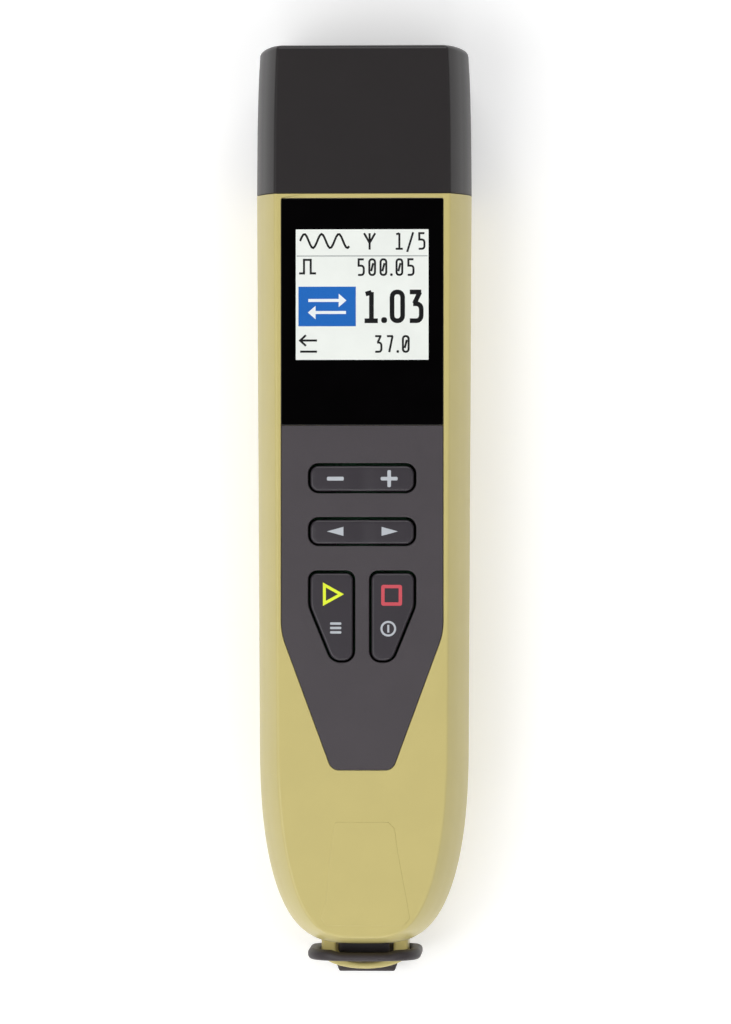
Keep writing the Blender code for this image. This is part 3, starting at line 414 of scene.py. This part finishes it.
# The section of one side, as millimetres in from the side and up: a short upright lip over the seam, the
# bulging facet, the ridge and the flat face. The first point and the last two only close the outline.
facet_points = [(0.0, 19.15), (0.0, 20.5), (0.51, 23.2), (2.63, 28.2), (4.2, 30.5), (8.0, 30.5), (8.0, 19.15)]
facet_radii = [0.0001, 4.0, 21.0, 21.0, 0.8, 0.0001, 0.0001]
section_low, section_end = 19.2, 7.9
facet_section = sized([(side, height) for side, height in rounded(facet_points, facet_radii, 8)
                       if height > section_low and side < section_end])
ridge_side, ridge_end = 4.2 * mm, 1.95 * mm
rings = [flat(case_loop(lip_break, lip_break), split_height + seam / 2),
         flat(case_loop(lip_inset, lip_inset), split_height + lip_rise)]
for side, height in facet_section:
    share = min(1.0, side / ridge_side)
    end = ridge_end * share + max(0.0, side - ridge_side)
    rings.append(flat(case_loop(side, end, share), height))
# the pocket's broken edge and its side down to the floor: distance from the plate, and depth
for out, down in sized([(0.22, 0.0), (0.17, 0.02), (0.125, 0.06), (0.1, 0.12), (0.1, 1.5)]):
    rings.append(flat(pocket_loop(out), front_height - down))
made = bmesh.new()
skin(made, rings)
lid(made, rings[-1])
# the inside of the cover, from the seam up to its ceiling: side inset, end inset, height and tail share
inside = [rings[0]]
for side, end, height, share in ((2.0, 2.0, 19.08, 0.0), (2.0, 2.0, 20.5, 0.0), (5.07, 3.9, 27.8, 0.73)):
    inside.append(flat(case_loop(side * mm, end * mm, share, joint_y - end_wall), height * mm))
skin(made, inside)
lid(made, inside[-1])
front_cover = piece("front_cover_shell", made, sand_plastic)
open_ends(front_cover)
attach(front_cover, "case")
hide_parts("front_cover")

# a shallow raised tongue below the key plate, which ends over the strap eye, and its softened edge as inset
# and rise over the face
tongue = sized([(-5.9, -65.3), (-6.6, -70.0), (-7.5, -80.0), (-8.6, -84.0), (-7.5, -85.5), (8.6, -85.5),
                (9.9, -84.0), (9.3, -80.4), (7.35, -70.0), (6.75, -65.3), (5.4, -64.0), (-5.55, -64.0)])
tongue = rounded(tongue, 0.25 * mm, 3)
rings = []
for inset, rise in sized([(0.0, -0.2), (0.0, 0.02), (0.04, 0.07), (0.15, 0.10)]):
    rings.append(flat(widened(tongue, -inset), front_height + rise))
tongue_relief = piece("tongue_relief", solid(rings), sand_plastic, 60)
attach(tongue_relief, "case")

# Window. A clear plate printed black on its back, glued flush into the upper half of the pocket. It reads as
# deep black gloss, apart from the square that the display shines through.
window_black = moulded("black window", (0.0010, 0.0008, 0.0010), 0.10, 2.0 * mm, 0.0, 0.2)
window_gloss = window_black.node_tree.nodes["Map Range"].inputs
window_gloss["To Min"].default_value = 0.05
window_gloss["To Max"].default_value = 0.09
window_low, window_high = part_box("display_window")
window_fit, window_foot = 0.06 * mm, 0.20 * mm
window_corner, plate_edge = 0.35 * mm, 0.12 * mm


def edge_arc(radius, steps):
    """A rounded edge from the side over to the face: how far in each step is, and how far under the face."""
    angles = [math.pi / 2 * step / steps for step in range(steps + 1)]
    return [(radius * (1 - math.cos(a)), radius * (1 - math.sin(a))) for a in angles]


def plate_rings(outline_at, low, high):
    """The sides of a flat plate from its underside to its face, with the edge of the face broken."""
    edge = [flat(outline_at(-inset), high - under) for inset, under in edge_arc(plate_edge, 4)]
    return [flat(outline_at(0.0), low)] + edge


def window_outline(distance):
    left, right = window_low.x - window_fit - distance, window_high.x + window_fit + distance
    foot, top = window_low.y - window_foot - distance, window_high.y + window_fit + distance
    return rounded([(left, foot), (right, foot), (right, top), (left, top)], window_corner + distance)


window = piece("window_plate", solid(plate_rings(window_outline, window_low.z, window_high.z)), window_black)
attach(window, "case")
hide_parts("display_window")

# Display. A square colour panel that shines through the window: black figures and signs on white, with a
# blue field in the middle. They lie on the window's face as thin layers, a hair above each other.
view_half = 13.75 * mm
view_low, view_high = 31.7 * mm, 58.7 * mm
layer, shape_step = 0.01 * mm, 0.0008 * mm
face, ink, field_ink = front_height + layer, front_height + 2 * layer, front_height + 3 * layer
sheet_depth, ink_depth, mark_depth = 0.02 * mm, 0.012 * mm, 0.03 * mm


def lit(name, colour, glow=0.0):
    """A lit or printed colour with the faint grid of a panel's dots in it."""
    made = moulded(name, colour, 0.30, 0.115 * mm, 0.0, 0.02)
    tone = made.node_tree.nodes["Color Ramp"].outputs["Color"]
    shader = made.node_tree.nodes["Principled BSDF"]
    if glow:
        made.node_tree.links.new(tone, shader.inputs["Emission Color"])
        shader.inputs["Emission Strength"].default_value = glow
    return made


def inlay(name, shapes, top, material, body, depth=mark_depth):
    """Flat marks: outlines filled and given a little depth, each a trace higher than the one before."""
    made = bmesh.new()
    for index, shape in enumerate(shapes):
        level = top + shape_step * index
        for ring in shape:
            skin(made, [flat(ring, top - depth), flat(ring, level)])
        lid(made, *[flat(ring, level) for ring in shape])
    drawn = piece(name, made, material)
    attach(drawn, body)


def stroke(points, width, closed=False):
    """The outline of a line of even width through the points; a closed line has an outer and an inner one."""
    points = [Vector(point) for point in points]
    left, right = [], []
    for index, point in enumerate(points):
        before = points[index - 1] if index or closed else None
        after = points[(index + 1) % len(points)] if index < len(points) - 1 or closed else None
        arriving = (point - before).normalized() if before is not None else (after - point).normalized()
        leaving = (after - point).normalized() if after is not None else arriving
        first, second = Vector((-arriving.y, arriving.x)), Vector((-leaving.y, leaving.x))
        offset = (first + second) / (1 + first.dot(second)) * width / 2
        left.append(tuple(point + offset))
        right.append(tuple(point - offset))
    return [left, right] if closed else [left + right[::-1]]


bow_across, bow_up = 0.43, 0.36


def bow(u, v, start, end):
    """A quarter turn of a figure's line about a point, in shares of the figure's size."""
    angles = [math.radians(start + (end - start) * step / 4) for step in range(5)]
    return [(u + bow_across * math.cos(a), v + bow_up * math.sin(a)) for a in angles]


# The lines that each figure is drawn with, 1 wide and 2 high. The zero is one closed line.
upper_bow, lower_bow = bow(0.57, 0.82, 90, 0), bow(0.57, 0.36, 0, -90)
zero_top = bow(0.57, 1.64, 0, 90) + bow(0.43, 1.64, 90, 180)
zero_low = bow(0.43, 0.36, 180, 270) + bow(0.57, 0.36, 270, 360)
figures = {
    "0": [zero_top + zero_low],
    "1": [((0.0, 1.86), (0.55, 1.98)), ((0.55, 2.0), (0.55, 0.0)), ((-0.1, 0.0), (1.15, 0.0))],
    "3": [((-0.08, 2.0), (1.0, 2.0)), ((0.87, 2.0), (0.36, 1.2)),
          ((0.24, 1.18), *upper_bow, *lower_bow, (-0.08, 0.0))],
    "5": [((1.0, 2.0), (0.1, 2.0), (0.1, 1.18), *upper_bow, *lower_bow, (0.0, 0.0))],
    "7": [((0.0, 2.0), (1.05, 2.0)), ((0.98, 2.0), (0.4, -0.05))],
    "/": [((-0.05, -0.4), (1.0, 2.12))],
}


def shown_number(text, left, low_y, height, width, pitch, line):
    """A number in the screen's narrow figures; a point takes less than half of a figure's pitch."""
    point_pitch, point_size, point_rise = 0.42 * pitch, 1.25 * line, 0.63 * line
    shapes = []
    for sign in text:
        if sign == ".":
            middle = (left + (point_pitch - pitch + width) / 2, low_y + point_rise)
            shapes.append([rounded(rectangle(point_size, point_size, middle), line / 2, 4)])
            left += point_pitch
            continue
        across, up = width - line, (height - line) / 2
        for path in figures[sign]:
            points = [(left + line / 2 + across * u, low_y + line / 2 + up * v) for u, v in path]
            shapes.append(stroke(points, line, closed=sign == "0"))
        if sign == "0" and line < width / 3.5:
            slash = [(left + width * u, low_y + height * v) for u, v in ((0.36, 0.27), (0.64, 0.73))]
            shapes.append(stroke(slash, line))
        left += pitch
    return shapes


def screen(*places):
    """Places on the screen, written in millimetres from its lower left corner."""
    return [(x * mm - view_half, view_low + y * mm) for x, y in places]


def on_screen(name, shapes, top, material, depth=ink_depth):
    inlay(name, shapes, top, material, "case", depth)


sheet = rectangle(2 * view_half, view_high - view_low, (0.0, (view_low + view_high) / 2))
sheet = rounded(sheet, 0.1 * mm, 2)
on_screen("screen_white", [[sheet]], face, lit("lit white", (0.80, 0.83, 0.79), 0.12), sheet_depth)
# height, width and pitch of the two sizes of figure, and the width of their lines
small, thin = (3.65 * mm, 1.6 * mm, 2.33 * mm), 0.42 * mm
large, bold = (6.9 * mm, 3.15 * mm, 3.85 * mm), 0.96 * mm
dark = []
for text, place, size, line in (("1/5", (20.6, 22.75), small, thin), ("500.05", (12.7, 17.35), small, thin),
                                ("1.03", (14.0, 7.6), large, bold), ("37.0", (16.35, 1.45), small, thin)):
    dark += shown_number(text, *screen(place)[0], *size, line)
aerial = [screen((15.3, 22.8), (15.3, 26.2)), screen((14.15, 26.2), (15.3, 24.2), (16.45, 26.2))]
wave = [screen(*[(0.9 + 0.34 * step, 24.6 + 1.45 * math.sin(0.6 * step)) for step in range(31)])]
pulse = [screen((0.7, 17.9), (1.7, 17.9), (1.7, 20.7), (3.1, 20.7), (3.1, 17.9), (4.2, 17.9))]
step_back = [screen((0.9, 4.0), (4.4, 4.0)), screen((2.1, 5.1), (0.9, 4.0), (2.1, 2.9)),
             screen((0.9, 1.7), (4.4, 1.7))]
dark += [stroke(line, thin) for line in aerial + wave + pulse + step_back]
on_screen("screen_figures", dark, ink, lit("screen ink", (0.006, 0.006, 0.007)))
divider_y = screen((0.0, 21.5))[0][1]
divider = rectangle(27.1 * mm, 0.2 * mm, (0.0, divider_y))
on_screen("screen_divider", [[divider]], ink, lit("screen grey", (0.36, 0.38, 0.38)))
field = rectangle(11.9 * mm, 8.2 * mm, screen((6.5, 11.05))[0])
on_screen("screen_field", [[field]], ink, lit("screen blue", (0.012, 0.135, 0.50), 0.05))
shafts = [screen((2.6, 12.3), (9.2, 12.3)), screen((3.8, 9.8), (10.4, 9.8))]
heads = [screen((8.9, 13.7), (8.9, 10.9), (10.5, 12.3)), screen((4.1, 8.4), (4.1, 11.2), (2.5, 9.8))]
arrows = [stroke(line, 0.62 * mm) for line in shafts] + [[head] for head in heads]
on_screen("screen_field_sign", arrows, field_ink, lit("screen field white", (0.80, 0.84, 0.86), 0.1))
refinish("display_panel", lit("panel glass", (0.80, 0.82, 0.80), 0.05))

# Key plate. A dark grey plate with a fine spark-eroded grain, set flush under the window. It narrows to a
# blunt foot, and has four openings with softly rounded edges for the keys.
plate_grain = moulded("key plate plastic", (0.056, 0.0475, 0.0545), 0.50, 0.28 * mm, 0.40, 0.03)
plate_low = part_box("keypad_plate")[0].z
opening_edge, opening_edge_steps = 0.22 * mm, 5
well_low, well_high, well_clearance = 26.0 * mm, 29.6 * mm, 0.3 * mm
rocker_length, rocker_corner = 22.4 * mm, 2.2 * mm
# the rocker openings' middles along the case and their widths
rockers = {"minus_plus": (7.22 * mm, 6.2 * mm), "left_right": (-3.83 * mm, 5.95 * mm)}
# the x, y and radius of each corner of the stop key's opening; the start key's is its mirror image
stop_corners = sized([(1.45, -30.95, 2.4), (6.44, -30.95, 2.8), (11.2, -19.3, 5.0), (11.2, -11.9, 1.9),
                      (1.45, -11.9, 1.9)])
start_corners = [(-x, y, radius) for x, y, radius in reversed(stop_corners)]


def plate_outline(distance):
    return rounded(widened(plate_corners, distance), [radius + distance for radius in plate_radii], 10)


def rocker_outline(rocker, distance, side_steps=1):
    middle_y, width = rocker
    corners = rectangle(rocker_length + 2 * distance, width + 2 * distance, (0.0, middle_y))
    return rounded(corners, rocker_corner + distance, 10, side_steps)


def side_outline(corners, distance):
    moved = widened([(x, y) for x, y, radius in corners], distance)
    return rounded(moved, [radius + distance for x, y, radius in corners], 10)


openings = [lambda d, rocker=rocker: rocker_outline(rocker, d) for rocker in rockers.values()]
openings += [lambda d, corners=corners: side_outline(corners, d) for corners in (start_corners, stop_corners)]
made = bmesh.new()
sides = plate_rings(plate_outline, plate_low, front_height)
skin(made, sides)
top_loops, low_loops = [sides[-1]], [sides[0]]
for opening in openings:
    rings = [flat(opening(0.0), plate_low)]
    for inset, under in edge_arc(opening_edge, opening_edge_steps):
        rings.append(flat(opening(inset), front_height - under))
    skin(made, rings)
    top_loops.append(rings[-1])
    low_loops.append(rings[0])
lid(made, *top_loops)
lid(made, *low_loops)
plate = piece("key_plate", made, plate_grain)
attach(plate, "case")
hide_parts("keypad_plate")
for opening in openings:
    well = opening(well_clearance)
    carve(front_cover, solid([flat(well, well_low), flat(well, well_high)]))

# Rocker keys. Two bars of smooth dark plastic, each rocking on two pins under the plate, with a shallow
# hollow in the middle that tells the thumb its two ends apart. The marks are printed in pale grey.
key_plastic = moulded("key plastic", (0.034, 0.0285, 0.036), 0.40, 0.20 * mm, 0.15, 0.03)
mark_grey = moulded("pale grey print", (0.50, 0.53, 0.57), 0.50, 0.30 * mm, 0.10, 0.03)
key_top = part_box("rocker_key_minus_plus")[1].z - 0.02 * mm
mark_top = key_top + 0.015 * mm
key_gap, key_shift = 0.5 * mm, 0.1 * mm
key_edge, key_edge_steps = 0.5 * mm, 6
hollow_depth, hollow_reach = 0.13 * mm, 2.2 * mm
rocker_depth, rocker_crown, rocker_side_steps = 3.8 * mm, 1.2 * mm, 40


def hollow(x):
    """How deep the rocker's hollow is at a distance from its middle."""
    return hollow_depth * math.exp(-(x / hollow_reach) ** 2)


def rocker_rings(rocker):
    """The rocker's sides, its rounded edge, and its top in to the middle line, hollowed along its length."""
    side = rocker_outline(rocker, -key_gap, rocker_side_steps)
    rings = [flat(side, key_top - rocker_depth), flat(side, key_top - key_edge - 0.05 * mm)]
    for inset, under in edge_arc(key_edge, key_edge_steps)[1:]:
        outline = rocker_outline(rocker, -key_gap - inset, rocker_side_steps)
        rings.append([(u, v, key_top - under - hollow(u) * (1 - under / key_edge)) for u, v in outline])
    last = rocker_outline(rocker, -key_gap - rocker_crown, rocker_side_steps)
    for share in (1.0, 0.5, 0.0):
        rings.append([(u, rocker[0] + (v - rocker[0]) * share, key_top - hollow(u)) for u, v in last])
    return rings


for name, (middle_y, width) in rockers.items():
    rings = rocker_rings((middle_y - key_shift, width))
    made = bmesh.new()
    skin(made, rings)
    lid(made, rings[0])
    key = piece(f"rocker_{name}", made, key_plastic, 50)
    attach(key, f"rocker_{name}")
    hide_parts(f"rocker_key_{name}")


def cross_outline(x, y, arm, half):
    """The outline of two crossed bars."""
    quarter = [(-half, -arm), (half, -arm), (half, -half)]
    points = []
    for side in range(4):
        points += quarter
        quarter = [(-v, u) for u, v in quarter]
    return [(x + u, y + v) for u, v in points]


minus_plus_y, left_right_y = 7.1 * mm, -3.81 * mm
minus = rounded(rectangle(3.5 * mm, 0.8 * mm, (-5.53 * mm, minus_plus_y)), 0.25 * mm, 4)
inlay("minus_mark", [[minus]], mark_top, mark_grey, "rocker_minus_plus")
plus = cross_outline(5.62 * mm, minus_plus_y, 1.76 * mm, 0.37 * mm)
plus = rounded(plus, [0.25 * mm, 0.25 * mm, 0.1 * mm] * 4, 4)
inlay("plus_mark", [[plus]], mark_top, mark_grey, "rocker_minus_plus")
arrow_rise = 0.94 * mm
arrows = [[[(tip, left_right_y), (base, left_right_y + arrow_rise), (base, left_right_y - arrow_rise)]]
          for tip, base in ((-7.25 * mm, -3.85 * mm), (7.45 * mm, 4.05 * mm))]
inlay("arrow_marks", arrows, mark_top, mark_grey, "rocker_left_right")

# Start and stop keys. Two tapered keys of the same dark plastic, pressed straight in. The left one carries a
# yellow start mark and a list mark, the right one a red stop mark and a power mark.
start_yellow = moulded("yellow print", (0.80, 0.92, 0.03), 0.50, 0.30 * mm, 0.08, 0.03)
stop_red = moulded("red print", (0.62, 0.075, 0.10), 0.50, 0.30 * mm, 0.08, 0.03)
side_key_depth = 2.8 * mm
for name, corners in (("start", start_corners), ("stop", stop_corners)):
    corners = [(x, y - key_shift, radius) for x, y, radius in corners]
    rings = [flat(side_outline(corners, -key_gap), key_top - side_key_depth)]
    for inset, under in edge_arc(key_edge, key_edge_steps):
        rings.append(flat(side_outline(corners, -key_gap - inset), key_top - under))
    key = piece(f"{name}_key_cap", solid(rings), key_plastic)
    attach(key, name)
    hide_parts(f"{name}_key")

start_base_x, start_tip_x = -7.7926 * mm, -4.3614 * mm
start_y, start_rise = -16.8108 * mm, 1.9016 * mm
mark_line, power_line = 0.62 * mm, 0.42 * mm
triangle = [(start_base_x, start_y + start_rise), (start_base_x, start_y - start_rise),
            (start_tip_x, start_y)]
inlay("start_mark", [stroke(triangle, mark_line, True)], mark_top, start_yellow, "start")
list_x, list_y, list_pitch = -5.4569 * mm, -22.8878 * mm, 0.9095 * mm
bars = [rectangle(2.35 * mm, 0.5 * mm, (list_x, list_y - list_pitch * row)) for row in range(3)]
bars = [[rounded(line, 0.2 * mm, 3)] for line in bars]
inlay("list_mark", bars, mark_top, mark_grey, "start")
stop_middle, stop_side, stop_line = (6.1287 * mm, -17.0279 * mm), 3.6173 * mm, 0.70 * mm
stop_mark = [rounded(rectangle(side, side, stop_middle), radius, 5)
             for side, radius in ((stop_side + stop_line, 0.45 * mm), (stop_side - stop_line, 0.15 * mm))]
inlay("stop_mark", [stop_mark], mark_top, stop_red, "stop")
power_middle, power_radius = (5.4362 * mm, -23.9420 * mm), 1.41 * mm
power_mark = [stroke(circle(power_radius, power_middle), power_line, True),
              [rectangle(power_line, 1.6 * mm, power_middle)]]
inlay("power_mark", power_mark, mark_top, mark_grey, "stop")

# Antenna socket. A nickel-plated coaxial socket with a coupling thread, screwed to a cast light-metal housing
# that stands out of the case's end; a white insulator holds the gold-plated centre contact.
cast_metal = moulded("cast light metal", (0.44, 0.44, 0.45), 0.42, 0.35 * mm, 0.35, 0.06, metallic=1.0)
gold_plate = moulded("gold plate", (0.83, 0.60, 0.24), 0.24, 0.15 * mm, 0.05, 0.03, metallic=1.0)
# radius and place along the case, in millimetres: the bore and its mouth, the thread, the flange and back
thread_root, thread_crest, thread_pitch = 7.35, 7.88, 1.06
thread_top_y, thread_low_y = 91.3, 78.6
bore = [(2.2, 59.4), (2.2, 81.1), (5.7, 81.1), (5.7, 91.6), (6.0, 91.9), (7.2, 92.0), (7.5, 91.7)]
flange = [(7.3, 77.6), (7.3, 76.6), (9.5, 76.6), (9.8, 76.3), (9.8, 74.7), (9.5, 74.4), (4.0, 74.4),
          (4.0, 59.4)]
thread = []
y = thread_top_y
while y > thread_low_y:
    thread += [(thread_root, y), (thread_crest, y - 0.22), (thread_crest, y - 0.50), (thread_root, y - 0.72)]
    y -= thread_pitch
made = bmesh.new()
skin(made, [upright(circle(radius, (0.0, socket_height), 72), y)
            for radius, y in sized(bore + thread + flange + bore[:1])])
socket = piece("socket_shell", made, nickel_plate, 28)
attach(socket, "case")
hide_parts("socket_body")
refinish("socket_housing", cast_metal)
refinish("socket_insulator", white_plastic)
refinish("socket_contact", gold_plate)

# Socket cap. A deep cap of dark soft-touch plastic, pushed over the socket's neck. It carries the case's
# facets on to a softly rounded end.
cap_plastic = moulded("cap plastic", (0.0245, 0.0215, 0.0222), 0.36, 0.24 * mm, 0.14, 0.02)
cap_plastic.node_tree.nodes["Principled BSDF"].inputs["Specular IOR Level"].default_value = 0.30
cap_low_y, cap_end_y = 66.22 * mm, 96.9 * mm
cap_edge, cap_taper = 1.0 * mm, 0.65 * mm
cap_back_steps = 30
corner_start_y, corner_run_y = 90.0 * mm, 5.0 * mm
corner_start_x, corner_run_x, corner_drop = 18.0 * mm, 3.3 * mm, 0.55 * mm


def cap_ring(y, side, drop, size=1.0):
    """The case's section drawn in at its sides, front and back, with its corners set back towards the end."""
    shares = [(step / cap_back_steps) ** 1.8 for step in range(cap_back_steps + 1)]
    right = [(half_width_top - back_round(share)[0], split_height * share) for share in shares]
    right += [(half_width_top - inset, height) for inset, height in facet_section]
    near_end = min(1.0, max(0.0, (y - corner_start_y) / corner_run_y))
    ring = []
    for x, z in right + [(-x, z) for x, z in reversed(right)]:
        x *= (1 - side / half_width_top) * size
        z = socket_height + (z - socket_height) * (1 - drop / socket_height) * size
        beyond = max(0.0, abs(x) - corner_start_x) / corner_run_x
        ring.append((x, y - corner_drop * beyond ** 2 * near_end, z))
    return ring


# the sides' rings: place along the cap, how far its sides stand in, and how far its front and back do
rings = [cap_ring(*level) for level in sized([(66.22, 0.1, 0.1), (66.32, 0.0, 0.0), (80.0, 0.1, 0.0),
                                              (88.0, 0.3, 0.0), (92.0, 0.45, 0.0), (94.5, 0.58, 0.0)])]
rings += [cap_ring(cap_end_y - under, cap_taper + inset, inset) for inset, under in edge_arc(cap_edge, 8)]
# smaller rings on the end face, which keep the shade of its low corners even
rings += [cap_ring(cap_end_y, cap_taper + cap_edge, cap_edge, size) for size in (0.96, 0.92, 0.88, 0.84)]
made = bmesh.new()
skin(made, rings)
lid(made, rings[-1])
room = rounded(rectangle(34.4 * mm, 22.4 * mm, (0.0, socket_height)), 5.2 * mm, 12)
mouth = rounded(rectangle(34.8 * mm, 22.8 * mm, (0.0, socket_height)), 5.4 * mm, 12)
room_low_y, room_end_y = 66.6 * mm, 94.7 * mm
lid(made, rings[0], upright(mouth, cap_low_y))
skin(made, [upright(mouth, cap_low_y), upright(room, room_low_y), upright(room, room_end_y)])
lid(made, upright(room, room_end_y))
cap = piece("cap_shell", made, cap_plastic)
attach(cap, "cap")
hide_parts("socket_cap")

# Case screws. Four plain steel screws with cross-slotted pan heads, sunk in the back of the rear cover. Each
# is turned as radius and height over its head's face: the domed head, its underside, the shank and the tip.
screw_profile = sized([(0.5, 0.0), (1.5, 0.05), (1.95, 0.3), (2.18, 0.75), (2.2, 1.0), (2.2, 1.75),
                       (2.15, 1.8), (1.25, 1.8), (1.25, 22.4), (0.7, 23.0)])
drive_arm, drive_half, drive_depth, drive_taper = 1.15 * mm, 0.26 * mm, 0.9 * mm, 0.7
for count, (x, y) in enumerate(screw_places, 1):
    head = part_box(f"case_screw_{count}")[0].z
    rings = [flat(circle(radius, (x, y)), head + rise) for radius, rise in screw_profile]
    screw = piece(f"case_screw_head_{count}", solid(rings), plain_steel)
    slot = cross_outline(x, y, drive_arm, drive_half)
    slot_floor = cross_outline(x, y, drive_arm * drive_taper, drive_half * drive_taper)
    carve(screw, solid([flat(slot, head - overrun), flat(slot, head), flat(slot_floor, head + drive_depth)]))
    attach(screw, "case")
    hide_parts(f"case_screw_{count}")

# Charging socket. A drawn steel shell on the end of the board, with a thin black tongue in its mouth; the
# dust cover's plug closes it.
refinish("charging_socket", plain_steel)

# Dust cover. One moulding of dark rubber: a ring that hangs round the legs of the strap eye, a plug for the
# charging socket on a web and a neck under its front bar, and a flared tab behind the eye to pull it by.
rubber = moulded("dust cover rubber", (0.036, 0.028, 0.031), 0.50, 0.30 * mm, 0.25, 0.04)
ring_low_y, ring_high_y = -93.25 * mm, -90.95 * mm
ring_low_z, ring_high_z = 3.0 * mm, 25.7 * mm
ring_z = (ring_low_z + ring_high_z) / 2
ring_width, ring_height, ring_thickness, ring_edge = 21.3 * mm, 20.3 * mm, 2.4 * mm, 1.0 * mm
back_corner, front_corner = 3.2 * mm, 6.4 * mm
leg_inside, slim_run, slim_share = 7.0 * mm, 2.2 * mm, 0.22
front_bar_z = ring_z + 8.0 * mm
ring_line = rectangle(ring_width, ring_height, (0.0, ring_z))
ring_line = rounded(ring_line, [back_corner] * 2 + [front_corner] * 2, 12, 6)
ring_line = [Vector(point) for point in ring_line]
section = rectangle(ring_thickness, ring_high_y - ring_low_y, (0.0, (ring_low_y + ring_high_y) / 2))
section = rounded(section, ring_edge, 6)
rings = []
for index, point in enumerate(ring_line):
    along = (ring_line[(index + 1) % len(ring_line)] - ring_line[index - 1]).normalized()
    outwards = Vector((along.y, -along.x))
    between_legs = max(0.0, min(1.0, (leg_inside - abs(point.x)) / slim_run))
    eased = between_legs ** 2 * (3 - 2 * between_legs)
    slim = slim_share * eased if point.y > front_bar_z else 0.0
    rings.append([(point.x + outwards.x * u, ring_low_y + (v - ring_low_y) * (1 - slim),
                   point.y + outwards.y * u) for u, v in section])
made = bmesh.new()
skin(made, rings + rings[:1])
cover = piece("dust_cover_ring", made, rubber)


def soft_block(corners, low, high, edge):
    """A flat block along Z with its edges rounded on both faces, and its corners sharper towards them."""
    arc = edge_arc(edge, 4)
    levels = [(inset, low + under) for inset, under in reversed(arc)]
    levels += [(inset, high - under) for inset, under in arc]
    return solid([flat(rounded(widened(corners, -inset), edge - 0.65 * inset, 5), z) for inset, z in levels])


tab_corners = sized([(-5.85, -96.9), (5.85, -96.9), (7.5, -92.4), (-7.5, -92.4)])
tab_thickness, tab_edge = 2.4 * mm, 0.5 * mm
carve(cover, soft_block(tab_corners, ring_low_z, ring_low_z + tab_thickness, tab_edge), "UNION")
neck_width = 10.4 * mm
neck_low, neck_top, web_top = 17.75 * mm, 18.95 * mm, 24.6 * mm
web = rectangle(neck_width, web_top - neck_low, (0.0, (web_top + neck_low) / 2))
neck = rectangle(neck_width, neck_top - neck_low, (0.0, (neck_top + neck_low) / 2))
plug_collar = rounded(rectangle(10.8 * mm, 4.4 * mm, (0.0, port_height)), 1.45 * mm)
plug_nose = rounded(rectangle(7.6 * mm, 1.8 * mm, (0.0, port_height)), 0.35 * mm)
for shape, low_y, high_y in ((web, -93.05, -91.75), (neck, -92.9, -89.0), (plug_collar, -89.3, -87.6),
                             (plug_nose, -88.0, -82.2)):
    carve(cover, bar_along_y(shape, low_y * mm, high_y * mm), "UNION")
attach(cover, "dust_cover")
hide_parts("dust_cover")

# Studio. A pale sweep of floor, soft light from both sides and from beyond both ends, and the camera a little
# over a metre above the front, about two degrees to the right.
floor_half = 1.6
floor_paint = moulded("studio floor", (0.90, 0.90, 0.90), 0.85, 4 * mm, 0.0, 0.004)
floor_glow = floor_paint.node_tree.nodes["Principled BSDF"].inputs
floor_glow["Emission Color"].default_value = (1, 1, 1, 1)
floor_glow["Emission Strength"].default_value = 0.27
made = bmesh.new()
floor_rows = [[(-floor_half, y, 0.0), (floor_half, y, 0.0)] for y in (-floor_half, floor_half)]
skin(made, floor_rows, closed=False)
floor = piece("studio_floor", made, floor_paint)

# the room's brightness, from the horizon at height 0 to straight above at 1
room_heights = (0.0, 0.45, 0.72, 0.90, 0.975, 1.0)
room_brightness = (0.16, 0.20, 0.24, 0.09, 0.015, 0.012)
world = bpy.data.worlds.new("studio")
bpy.context.scene.world = world
world.use_nodes = True
nodes, links = world.node_tree.nodes, world.node_tree.links
separate = nodes.new("ShaderNodeSeparateXYZ")
links.new(nodes.new("ShaderNodeTexCoord").outputs["Generated"], separate.inputs["Vector"])
sky = nodes.new("ShaderNodeValToRGB")
for height in room_heights[1:-1]:
    sky.color_ramp.elements.new(height)
for stop, height, level in zip(sky.color_ramp.elements, room_heights, room_brightness):
    stop.position = height
    stop.color = (level, level, level, 1)
links.new(separate.outputs["Z"], sky.inputs["Fac"])
links.new(sky.outputs["Color"], nodes["Background"].inputs["Color"])


def soft_light(name, place, target, size, power):
    """A softbox at a place, aimed at a point, with its width and length, all in metres; its power in watts."""
    lamp = bpy.data.lights.new(name, "AREA")
    lamp.shape = "RECTANGLE"
    lamp.size, lamp.size_y = size
    lamp.energy = power
    light = bpy.data.objects.new(name, lamp)
    light.location = place
    light.rotation_euler = (Vector(target) - Vector(place)).to_track_quat("-Z", "Y").to_euler()
    bpy.context.scene.collection.objects.link(light)


soft_light("left_softbox", (-0.62, -0.25, 0.95), (0, 0, 0.02), (0.6, 0.8), 5.1)
soft_light("right_softbox", (0.62, -0.25, 0.95), (0, 0, 0.02), (0.6, 0.8), 2.2)
soft_light("low_softbox", (-0.05, -0.88, 0.66), (0, -0.05, 0.02), (0.9, 0.4), 4.7)
soft_light("high_softbox", (0.05, 0.90, 0.60), (0, 0.05, 0.02), (0.9, 0.4), 5.0)

camera_place, camera_aim = Vector((0.047, 0.0002, 1.1805)), Vector((0.0007, 0.0002, 0.0305))
camera = bpy.data.objects.new("camera", bpy.data.cameras.new("camera"))
bpy.context.scene.collection.objects.link(camera)
camera.location = camera_place
backwards = (camera_place - camera_aim).normalized()
sideways = Vector((0, 1, 0)).cross(backwards).normalized()
camera.rotation_euler = Matrix((sideways, backwards.cross(sideways), backwards)).transposed().to_euler()
camera.data.sensor_fit = "VERTICAL"
camera.data.sensor_height = 36
camera.data.lens = 195.5
camera.data.clip_start, camera.data.clip_end = 0.01, 20
bpy.context.scene.camera = camera
bpy.context.scene.view_settings.view_transform = "Standard"
